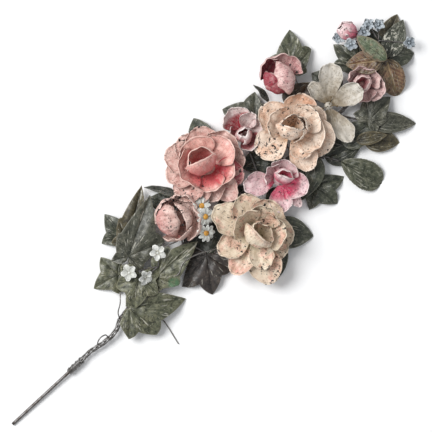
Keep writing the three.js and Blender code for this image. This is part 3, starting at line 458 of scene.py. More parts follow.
def whorlShells(whorl, seed):
    turn = leanTurn(whorl.get("lean", 0), whorl.get("towards", 0))
    eye = 6 * whorl.get("eye", 1)
    rows = [(*row, {}) if len(row) == len(petalColumns) else row for row in whorl["petals"]]
    petals = [{**dict(zip(petalColumns, row)), **row[-1], "at": row[0] % 360} for row in rows]
    petals.sort(key=lambda petal: petal["at"])
    shells = []
    for k, petal in enumerate(petals):
        before = (petal["at"] - petals[k - 1]["at"]) % 360 or 360
        after = (petals[(k + 1) % len(petals)]["at"] - petal["at"]) % 360 or 360
        room = min(before, after, 110) / 2
        full = {**petalDefaults, "spiral": whorl.get("spiral", 0), "phase": seed + 1.9 * k, **petal,
                "from": eye, "root": eye * math.sin(math.radians(room * 0.9))}
        shells.append(placeShell(petalShell(full), turn, whorl["middle"]))
    disc = tubeShell([(0, 0, -0.25), (0, 0, 0.25)], 2 * eye * 1.03, 32)
    shells.append(placeShell(disc, turn, whorl["middle"]))
    return shells


def flowerPiece(node, flower):
    shells = []
    for k, whorl in enumerate(flower["whorls"]):
        shells += whorlShells(whorl, flower["seed"] + 3.7 * k)
    for low, high in zip(flower["whorls"], flower["whorls"][1:]):
        shells.append(tubeShell([low["middle"], high["middle"]], 3))
    for route in flower.get("stamens", []):
        shells.append(tubeShell(smoothRoute(route, 14), 0.9, 8, 1, 0.8))
        tip = np.array(route[-1])
        shells.append(tubeShell([tip + (0, 0, -1.1), tip, tip + (0, 0, 0.9)], 1.9, 8, 1, 0.6))
    makePiece(node, shells, flower["finishes"])


# Leaves

leafDefaults = {
    "arch": 0.06, "fold": 0.16, "hang": 0.25, "swell": 0.55, "taper": 0.95, "teeth": 0, "spacing": 5.2,
    "emboss": 0.3, "ruffle": 0.5, "tint": (0, 0, 1), "roll": 0, "spots": (),
}
ivyDefaults = {**leafDefaults, "spacing": 7.5, "ruffle": 0.7}


def pressedHeight(length, x, y, ridge, leaf):
    # the leaf arches along its length, folds up from its veins and hangs at its sides
    u = np.maximum(x / length, -0.3)
    return leaf["arch"] * length * 4 * u * (1 - u) + leaf["fold"] * ridge - leaf["hang"] * y * y / length


def sideVeins(along, away, spacing, slant):
    # side veins leave the middle one every `spacing` mm and run forward at a slant
    step = (along - away * slant) / spacing
    gap = np.abs(step - np.round(step)) * spacing
    return np.exp(-(gap / 0.55) ** 2)


def pointedShell(leaf, length, phase):
    rows, columns = 44, 26
    u, s = flatGrid(np.linspace(0, 1, rows + 1), np.linspace(-1, 1, columns + 1))
    u = 1 - (1 - u) ** 1.15
    swell, taper = leaf["swell"], leaf["taper"]
    peak = swell / (swell + taper)
    most = peak ** swell * (1 - peak) ** taper
    half = leaf["wide"] / 2 * u ** swell * (1 - u) ** taper / most
    if leaf["teeth"]:
        half = half * (1 + 0.045 * (np.mod(u * leaf["teeth"], 1) - 0.5) * smooth(0.06, 0.2, u))
    across, along = s * half, u * length
    away = np.abs(across)
    veins = sideVeins(along, away, leaf["spacing"], 0.9) * smooth(0.4, 2.5, away)
    veins = veins * (1 - smooth(0.75, 1, np.abs(s)))
    middle = np.exp(-(across / 0.7) ** 2) * (1 - smooth(0.8, 1, u))
    z = pressedHeight(length, along, across, away, leaf)
    z = z - 1.5 * leaf["emboss"] * middle - leaf["emboss"] * veins
    z = z + leaf["ruffle"] * np.sin(9 * u + 3 * np.sign(s) + phase) * np.abs(s) ** 3 * np.sin(math.pi * u)
    toRim = (1 - np.abs(s)) * half
    share, low, high = leaf["tint"]  # a second colour towards one side of the leaf
    fields = {"reach": u, "side": s, "rim": 1 - smooth(0.2, 1.6, toRim),
              "vein": np.maximum(middle, 0.7 * veins), "tint": share * smooth(low, high, s),
              "tone": np.full_like(u, math.sin(phase))}
    return np.stack([along, across, z], axis=1), gridFaces(rows, columns), fields


def ivyShell(leaf, length, phase):
    lobes = sorted(leaf["lobes"] + [(0, 1)])
    outline, ridges = [], []

    def polar(heading, share):
        return np.array([math.cos(math.radians(heading)), math.sin(math.radians(heading))]) * share * length

    def arc(a, b, c, ridge, count):
        # a curve through three outline points, with the fold's height along it
        for t in np.arange(count) / count:
            shares = ((1 - t) * (1 - 2 * t), 4 * t * (1 - t), t * (2 * t - 1))
            outline.append(shares[0] * a + shares[1] * b + shares[2] * c)
            ridges.append(sum(share * height for share, height in zip(shares, ridge)))

    notches = []
    for (before, shareBefore), (heading, share) in zip(lobes, lobes[1:]):
        between = (heading * shareBefore + before * share) / (share + shareBefore)
        halfAngle = math.radians(heading - before) / 2
        straight = 2 * share * shareBefore * math.cos(halfAngle) / (share + shareBefore)
        notches.append(polar(between, 0.8 * straight))
    low = polar(max(lobes[0][0] - 32, -165), 0.58 * lobes[0][1])
    high = polar(min(lobes[-1][0] + 32, 165), 0.58 * lobes[-1][1])
    corners = [low, *notches, high]
    start = polar(max(lobes[0][0] - 75, -172), 0.07)
    final = polar(min(lobes[-1][0] + 75, 172), 0.07)
    arc(start, (start + low) / 2 * 1.06, low, (0, 0.6, 1), 8)
    for k, (heading, share) in enumerate(lobes):
        tip = polar(heading, share)
        first, second = [lerp(corner, tip, 0.45) + 0.05 * corner for corner in (corners[k], corners[k + 1])]
        arc(corners[k], first, tip, (1, 0.8, 0), 12)
        arc(tip, second, corners[k + 1], (0, 0.8, 1), 12)
    arc(high, (high + final) / 2 * 1.06, final, (1, 0.6, 0), 8)
    outline, ridges = np.array([*outline, final]), np.array([*ridges, 0])

    # rings from the leaf's foot to its outline
    rings = 18
    share = np.linspace(0, 1, rings + 1) ** 0.8
    flat = share[:, None, None] * outline[None, :, :]
    x, y = flat[..., 0].ravel(), flat[..., 1].ravel()
    rays = np.repeat(share, len(outline))
    ridge = np.tile(ridges, rings + 1) * np.hypot(x, y) * 0.6
    veins = np.zeros_like(x)
    for heading, part in lobes:
        c, s = math.cos(math.radians(heading)), math.sin(math.radians(heading))
        along, away = x * c + y * s, np.abs(y * c - x * s)
        near = (along > 0) * (1 - smooth(0.75, 0.95, along / (part * length)))
        veins = np.maximum(veins, np.exp(-(away / 0.65) ** 2) * near)
        reach = 0.16 * part * length
        branches = sideVeins(along, away, leaf["spacing"], 0.8) * smooth(0.5, 2, away)
        branches = branches * (1 - smooth(0.6, 1, away / reach))
        veins = np.maximum(veins, 0.6 * branches * near)
    z = pressedHeight(length, x, y, ridge, leaf) - leaf["emboss"] * veins
    bend = np.arctan2(y, x)
    z = z + leaf["ruffle"] * np.sin(6.5 * bend + phase) * rays ** 3
    toRim = (1 - rays) * np.tile(np.hypot(outline[:, 0], outline[:, 1]), rings + 1)
    fields = {"reach": rays, "side": bend * 0.9, "rim": 1 - smooth(0.2, 1.8, toRim), "vein": veins,
              "tone": np.full_like(x, math.sin(phase))}

    # the innermost ring is one point
    points = np.stack([x, y, z], axis=1)
    keys = np.round(points * 1000).astype(np.int64)
    _, first, back = np.unique(keys, axis=0, return_index=True, return_inverse=True)
    faces = back.ravel()[gridFaces(rings, len(outline) - 1)]
    return points[first], faces, {key: value[first] for key, value in fields.items()}


def leafTurn(leaf, roll=0):
    # the leaf's own frame: from its wire to its tip, rolled about that line
    base, tip = np.array(leaf["from"], dtype=float), np.array(leaf["to"], dtype=float)
    length = np.linalg.norm(tip - base)
    forward = (tip - base) / length
    side = np.cross((0, 0, 1), forward)
    side /= np.linalg.norm(side)
    side = side * math.cos(math.radians(roll)) + np.cross(forward, side) * math.sin(math.radians(roll))
    return np.stack([forward, side, np.cross(forward, side)], axis=1), base, length


def leafPiece(node, leaf, finish):
    isIvy = "lobes" in leaf
    full = {**(ivyDefaults if isIvy else leafDefaults), **leaf}
    turn, base, length = leafTurn(full, full["roll"])
    phase = 0.37 * base[0] + 0.21 * full["to"][1]
    points, faces, fields = (ivyShell if isIvy else pointedShell)(full, length, phase)
    points = points @ turn.T + base
    points[:, 2] = np.maximum(points[:, 2], tin["leafLowest"])
    makePiece(node, [closeSheet(points, faces, fields)], [finish], full["spots"])


# Geometry node trees


def readShell(made, finish=0):
    # takes a made mesh as a shell in mm, with its fields
    points = np.empty(len(made.vertices) * 3)
    made.vertices.foreach_get("co", points)
    fields = {}
    for key in floretFields:
        if key in made.attributes:
            fields[key] = np.empty(len(made.vertices))
            made.attributes[key].data.foreach_get("value", fields[key])
    shell = {"points": points.reshape(-1, 3) / mm, "faces": [list(face.vertices) for face in made.polygons],
             "fields": fields, "finish": finish}
    bpy.data.meshes.remove(made)
    return shell


def runTree(tree, mesh, values):
    # runs a node tree on a mesh and gives back the plain result
    holder = addObject("holder", mesh)
    modifier = holder.modifiers.new("make", "NODES")
    modifier.node_group = tree
    for item in tree.interface.items_tree:
        if item.in_out == "INPUT" and item.name in values:
            modifier[item.identifier] = values[item.name]
    made = bpy.data.meshes.new_from_object(holder.evaluated_get(bpy.context.evaluated_depsgraph_get()))
    holder.modifiers.remove(modifier)
    bpy.data.objects.remove(holder)
    bpy.data.meshes.remove(mesh)
    return made


def newTree(name, inputs):
    # an empty tree with named inputs, whose sockets it gives back by name
    tree = bpy.data.node_groups.new(name, "GeometryNodeTree")
    tree.interface.new_socket("Geometry", in_out="INPUT", socket_type="NodeSocketGeometry")
    for label, (kind, value) in inputs.items():
        socket = tree.interface.new_socket(label, in_out="INPUT", socket_type="NodeSocket" + kind)
        if value is not None:
            socket.default_value = value
    tree.interface.new_socket("Geometry", in_out="OUTPUT", socket_type="NodeSocketGeometry")
    given = addNode(tree, "NodeGroupInput").outputs
    return tree, {label: given[label] for label in ("Geometry", *inputs)}


def finishTree(tree, made, finish):
    # every tree ends as one real mesh with its material
    real = addNode(tree, "GeometryNodeRealizeInstances", None, {"Geometry": made}).outputs[0]
    done = addNode(tree, "GeometryNodeSetMaterial", None, {"Geometry": real, "Material": finish}).outputs[0]
    addNode(tree, "NodeGroupOutput", None, {0: done})
    return tree


def twistedWireTree():
    # each route becomes a bundle of strands that wind round it
    tree, value = newTree("twistedWires", {
        "Strands": ("Int", 3), "Wire diameter": ("Float", 0.0016), "Bundle radius": ("Float", 0.001),
        "Turns": ("Float", 3.0), "Segments": ("Int", 120), "Sides": ("Int", 8), "Finish": ("Material", None)})
    routes = addNode(tree, "GeometryNodeMeshToCurve", None, {"Mesh": value["Geometry"]}).outputs[0]
    spaced = addNode(tree, "GeometryNodeResampleCurve", None, {
        "Curve": routes, "Count": value["Segments"]}).outputs[0]
    level = addNode(tree, "GeometryNodeSetCurveNormal", {"mode": "Z_UP"}, {"Curve": spaced}).outputs[0]
    copies = addNode(tree, "GeometryNodeDuplicateElements", {"domain": "SPLINE"}, {
        "Geometry": level, "Amount": value["Strands"]}).outputs
    value["index"] = copies["Duplicate Index"]
    value["along"] = addNode(tree, "GeometryNodeSplineParameter").outputs["Factor"]
    value["circle"], value["half"] = 2 * math.pi, 0.5
    for key, operation, *sources in (
            ("start", "DIVIDE", "index", "Strands"), ("wound", "MULTIPLY", "along", "Turns"),
            ("turned", "ADD", "start", "wound"), ("angle", "MULTIPLY", "turned", "circle"),
            ("cosine", "COSINE", "angle"), ("up", "MULTIPLY", "cosine", "Bundle radius"),
            ("sine", "SINE", "angle"), ("out", "MULTIPLY", "sine", "Bundle radius"),
            ("radius", "MULTIPLY", "Wire diameter", "half")):
        value[key] = addNode(tree, "ShaderNodeMath", {"operation": operation}, {
            k: value[source] for k, source in enumerate(sources)}).outputs[0]
    normal = addNode(tree, "GeometryNodeInputNormal").outputs[0]
    ahead = addNode(tree, "GeometryNodeInputTangent").outputs[0]
    side = addNode(
        tree, "ShaderNodeVectorMath", {"operation": "CROSS_PRODUCT"}, {0: ahead, 1: normal}).outputs[0]
    parts = []
    for key, axis in (("up", normal), ("out", side)):
        scaled = {0: axis, "Scale": value[key]}
        parts.append(addNode(tree, "ShaderNodeVectorMath", {"operation": "SCALE"}, scaled).outputs[0])
    offset = addNode(
        tree, "ShaderNodeVectorMath", {"operation": "ADD"}, {0: parts[0], 1: parts[1]}).outputs[0]
    wound = addNode(tree, "GeometryNodeSetPosition", None, {
        "Geometry": copies[0], "Offset": offset}).outputs[0]
    ring = addNode(tree, "GeometryNodeCurvePrimitiveCircle", None, {
        "Resolution": value["Sides"], "Radius": value["radius"]}).outputs[0]
    bars = addNode(tree, "GeometryNodeCurveToMesh", None, {
        "Curve": wound, "Profile Curve": ring, "Fill Caps": True}).outputs[0]
    return finishTree(tree, bars, value["Finish"])


def floretTree():
    # copies of one petal stand round a middle, each a little different
    tree, value = newTree("floretPetals", {
        "Petals": ("Int", 5), "Unevenness": ("Float", 0.12), "Seed": ("Int", 1),
        "Finish": ("Material", None)})
    spots = addNode(tree, "GeometryNodeMeshLine", None, {
        "Count": value["Petals"], "Offset": (0, 0, 0)}).outputs[0]
    value["index"] = addNode(tree, "GeometryNodeInputIndex").outputs[0]
    value["circle"], value["one"], value["tiltShare"], value["back"] = 2 * math.pi, 1.0, 1.6, -1.0
    for key, operation, first, second in (
            ("share", "DIVIDE", "index", "Petals"), ("turn", "MULTIPLY", "share", "circle"),
            ("least", "SUBTRACT", "one", "Unevenness"), ("tiltMost", "MULTIPLY", "Unevenness", "tiltShare"),
            ("tiltLeast", "MULTIPLY", "tiltMost", "back")):
        value[key] = addNode(tree, "ShaderNodeMath", {"operation": operation}, {
            0: value[first], 1: value[second]}).outputs[0]
    for key, low, high in (("size", "least", "one"), ("tilt", "tiltLeast", "tiltMost")):
        value[key] = addNode(tree, "FunctionNodeRandomValue", {"data_type": "FLOAT"}, {
            2: value[low], 3: value[high], "Seed": value["Seed"]}).outputs[1]
    facing = addNode(tree, "ShaderNodeCombineXYZ", None, {1: value["tilt"], 2: value["turn"]}).outputs[0]
    placed = addNode(tree, "GeometryNodeInstanceOnPoints", None, {
        "Points": spots, "Instance": value["Geometry"], "Rotation": facing,
        "Scale": value["size"]}).outputs[0]
    return finishTree(tree, placed, value["Finish"])


twistedWires = twistedWireTree()
floretPetals = floretTree()
single = {"Strands": 1, "Bundle radius": 0, "Turns": 0}  # one plain wire along each route


def wireShell(routes, values, finish=0):
    # routes in mm become wires; lengths among the values are mm too
    points, edges = [], []
    for route in routes:
        first = len(points)
        points += (np.array(route) * mm).tolist()
        edges += [(first + k, first + k + 1) for k in range(len(route) - 1)]
    mesh = bpy.data.meshes.new("routes")
    mesh.from_pydata(points, edges, [])
    lengths = ("Wire diameter", "Bundle radius")
    sizes = {key: value * mm if key in lengths else value for key, value in values.items()}
    return readShell(runTree(twistedWires, mesh, sizes), finish)


# Small flowers

floretForm = {
    "wrap": 80, "round": 0.3, "rise": 22, "end": -24, "root": 1.1, "ruffle": 0.2, "lip": 0.15, "puff": 0.5,
    "crease": 0.5, "from": 1.4, "at": 0,
}


def floretShells(floret):
    # one small flower: stamped petals and its middle
    phase = floret["middle"][0]
    petal = {**petalDefaults, **floret, "reach": floret["reach"] - floret["from"], "phase": phase}
    sheet = petalShell(petal, 10)
    mesh = bpy.data.meshes.new("petal")
    mesh.from_pydata((sheet["points"] * mm).tolist(), [], [uniqueCorners(row) for row in sheet["faces"]])
    for key in floretFields:
        setField(mesh, key, sheet["fields"][key])
    grown = {"Petals": floret["count"], "Seed": int(abs(phase)), "Unevenness": 0.12}
    shells = [readShell(runTree(floretPetals, mesh, grown))]
    size, sides, flat = floret["eye"], 14, 0.75
    quarter = math.pi / 2
    rings = [(0, 0, -0.6)] + [(0, 0, size * flat * math.sin(a)) for a in np.linspace(0, quarter, 7)]
    dome = tubeShell(rings, 2 * size, sides, 1)
    radii = np.array([1.0] + [math.cos(a) for a in np.linspace(0, quarter - 0.12, 7)])
    dome["points"][:len(rings) * sides, :2] *= np.repeat(radii, sides)[:, None]
    turn = leanTurn(floret["lean"], floret["towards"])
    return [placeShell(shell, turn, floret["middle"]) for shell in (*shells, dome)]


def sprigPiece(node, sprig):
    # small flowers on short wires that meet; finishes are petals, middles and wire
    shells, routes = [], []
    foot = np.array(sprig["meet"], dtype=float)
    for place, lean, towards in sprig["florets"]:
        shells += floretShells({
            **floretForm, **sprig["kind"], "middle": place, "lean": lean, "towards": towards})
        top = np.array(place, dtype=float)
        routes.append(smoothRoute([top - (0, 0, 0.3), (top + foot) / 2 - (0, 0, 2), foot], 10))
    shells.append(wireShell(routes, {**single, "Wire diameter": 1.3, "Segments": 12}, 2))
    makePiece(node, shells, sprig["finishes"])


# Finishes: colours in the order of the coats

pinkPaint = paint(
    "TinPink", petalCoats, "#94474a #e2c2b7 #ebd0c4 #e5c9be #b3766c #6b3f36 #cf4a66",
    rootTo=0.3, uneven=0.3, mottle=0.5, streaks=0.4, specks=0.5, chipFrom=0.787, rimShare=0.55, pale=0.45,
    chipSize=3.0, grime=0.5)
pinkHeartPaint = paint(
    "TinRose", petalCoats, "#8f4a47 #e6b8ac #efd2c6 #e0b0a5 #c2736a #5f2f2b #cb4550",
    rootTo=0.35, streaks=0.5, chipFrom=0.812, specks=0.35, grime=0.4)
peachPaint = paint(
    "TinPeach", petalCoats, "#e8c4a0 #f2decb #f3e4d4 #ecbd9e #b8977e #84604a #e0986e",
    rootTo=0.35, blotches=0.65, uneven=0.15, mottle=0.35, specks=0.45, chipFrom=0.77, bare="#2e2622",
    grime=0.3, chipSize=3.6, pale=0.4)
creamPaint = paint(
    "TinCream", petalCoats, "#b5ae8e #e6d6bf #eee0ca #e5ac9a #b09a7c #5e4a36 #dc8a80",
    rootTo=0.35, blotches=0.7, uneven=0.2, streaks=0.45, chipFrom=0.785, chipSize=3.4, grime=0.32,
    specks=0.45, pale=0.4)
blushPaint = paint(
    "TinBlush", petalCoats, "#7c4c42 #e8cabf #e8cdc2 #e3c4b9 #a5766b #54352e #c05a60",
    rootTo=0.25, mottle=0.5, streaks=0.45, chipFrom=0.772, grime=0.38, specks=0.5, pale=0.45)
crimsonPaint = paint(
    "TinCrimson", petalCoats, "#6a202c #e2c2bb #e8cbc4 #cf9a98 #a8666a #421a1f #8a1c30",
    rootTo=0.2, mottle=0.5, streaks=0.5, chipFrom=0.787, chipSize=3.2, specks=0.5, grime=0.5)
redWhitePaint = paint(
    "TinRedAndWhite", petalCoats, "#6e1c2a #eadad5 #f2e8e4 #cfacab #c8a5a2 #4a2a2e #9c1428",
    rootTo=0.3, rimShare=0.75, mottle=0.5, streaks=0.5, chipFrom=0.812, grime=0.3, specks=0.5, uneven=0.2)
pinkWhitePaint = paint(
    "TinPinkAndWhite", petalCoats, "#7a2a3c #ebd3d1 #f0e4e0 #cfa2ab #cc98a0 #57333a #cf2c5c",
    rootTo=0.3, rimShare=0.6, mottle=0.5, streaks=0.5, chipFrom=0.807, specks=0.5, grime=0.32)
lilyPaint = paint(
    "TinIvoryGrey", petalCoats, "#786850 #ccc6bc #d8d2c8 #bdb3a2 #9d917d #6f6350",
    rootTo=0.85, uneven=0.15, specks=0.5, chipFrom=0.817, chipSize=1.5, bare="#6a5e4c", gloss=0.42)
dustyPaint = paint(
    "TinDustyRose", petalCoats, "#8c4a50 #e6cac4 #e8d0cb #dcbcb8 #b27a7c #4d2b2e #9c4450",
    rootTo=0.5, rimShare=0.5, mottle=0.45, streaks=0.5, chipFrom=0.812, grime=0.38, specks=0.5)
whitePaint = paint(
    "TinWhite", petalCoats, "#bdb9a8 #dcddd8 #e9e9e4 #cfcfc6 #a3a49c #76766c",
    rootTo=0.25, uneven=0.35, mottle=0.35, streaks=0.3, specks=0.25, chipFrom=0.872)
bluePaint = paint(
    "TinPaleBlue", petalCoats, "#50585c #b3bcc4 #d0d6d8 #c6cccd #727c84 #3d4448",
    rootTo=0.35, uneven=0.35, mottle=0.5, streaks=0.4, specks=0.5, bare="#202426", chipFrom=0.752)
yellowPaint = paint(
    "TinYellow", petalCoats, "#c98a30 #e3ac4a #ebbc62 #cf9438 #9a6222 #7c4c1c",
    rootTo=0.5, mottle=0.7, streaks=0.2, specks=0.5, chipFrom=0.932)
stamenPaint = paint(
    "BrownWire", petalCoats, "#6f5c3c #6d5c40 #82704f #5d4c33 #46381f",
    rootTo=0.9, streaks=0.3, grime=0.3, chipFrom=0.922)

leafLook = {
    "rootTo": 0.4, "rimShare": 0.5, "blotches": 0.65, "mottle": 0.9, "pale": 0.6, "streaks": 0.6,
    "underRimShade": 0.4, "veins": 0.5, "dirt": "#23241c", "specks": 0.75, "grime": 0.5, "flecks": 0.35,
    "fleckFrom": 0.74, "scratches": 0.55, "chipFrom": 0.872, "gloss": 0.31,
}
leafColours = {
    "olive": ("TinOlive", "#33382b #5a5d4b #777663 #63654e #2e3325 #2a2d21", {}),
    "lightOlive": ("TinLightOlive", "#3e4132 #666853 #85836a #727056 #2f3224 #2a2b1b", {"stain": "#4c6b4c"}),
    "grey": ("TinGreyGreen", "#383b32 #4e4f43 #716f61 #605e50 #272920 #22241c", {}),
    "dark": ("TinDarkGreen", "#1c1f19 #33372c #565848 #444838 #1f221b #181a14", {}),
    "darkGrey": ("TinSlateGreen", "#272a23 #464a3d #6d6d5d #5a5c4b #292c24 #20231c", {}),
    "bronze": ("TinBronze", "#372c22 #6c4c3a #8f7a5e #5f5a40 #3e2c22 #a48c68", {"veins": 1.0}),
    "chestnut": ("TinChestnut", "#21170f #45301e #5e4a34 #3d3522 #261a12 #1d130d", {}),
    "blackBronze": ("TinBlackBronze", "#1f1b19 #3e3733 #5e544c #4e4640 #25201e #191615", {}),
    "sage": ("TinSage", "#5c6b50 #757e64 #8a7963 #858b70 #4d5b44 #49573f", {
        "second": "#7a5f4c", "stain": "#7c6a58"}),
    "spotted": ("TinWornGreen", "#33372e #4f5347 #77786a #66685b #2f332a #23261f",
                {"flecks": 0.9, "fleckFrom": 0.66, "scratches": 0.7, "fleckSize": 3.4}),
    "ochre": ("TinBrownOlive", "#2f2c1f #504a36 #7a6f55 #645b42 #312c20 #262217", {}),
}
leafPaints = {key: paint(name, leafCoats, colours, **{**leafLook, **look})
              for key, (name, colours, look) in leafColours.items()}
darkWire = wireMetal("drawnIronWireDark", "#747170", 0.4, "#4b4139")
silverWire = wireMetal("drawnIronWireSilver", "#807e7c", 0.34, "#4a4540")
greyWire = wireMetal("drawnIronWireGrey", "#8b8884", 0.38, "#6a635c")
print("finishes made")


# Flowers: whorls of petals from the outside in. A petal is its heading in degrees, its reach from the
# eye, its width, how steeply it climbs at the eye and at its rim, and what differs from petalDefaults.

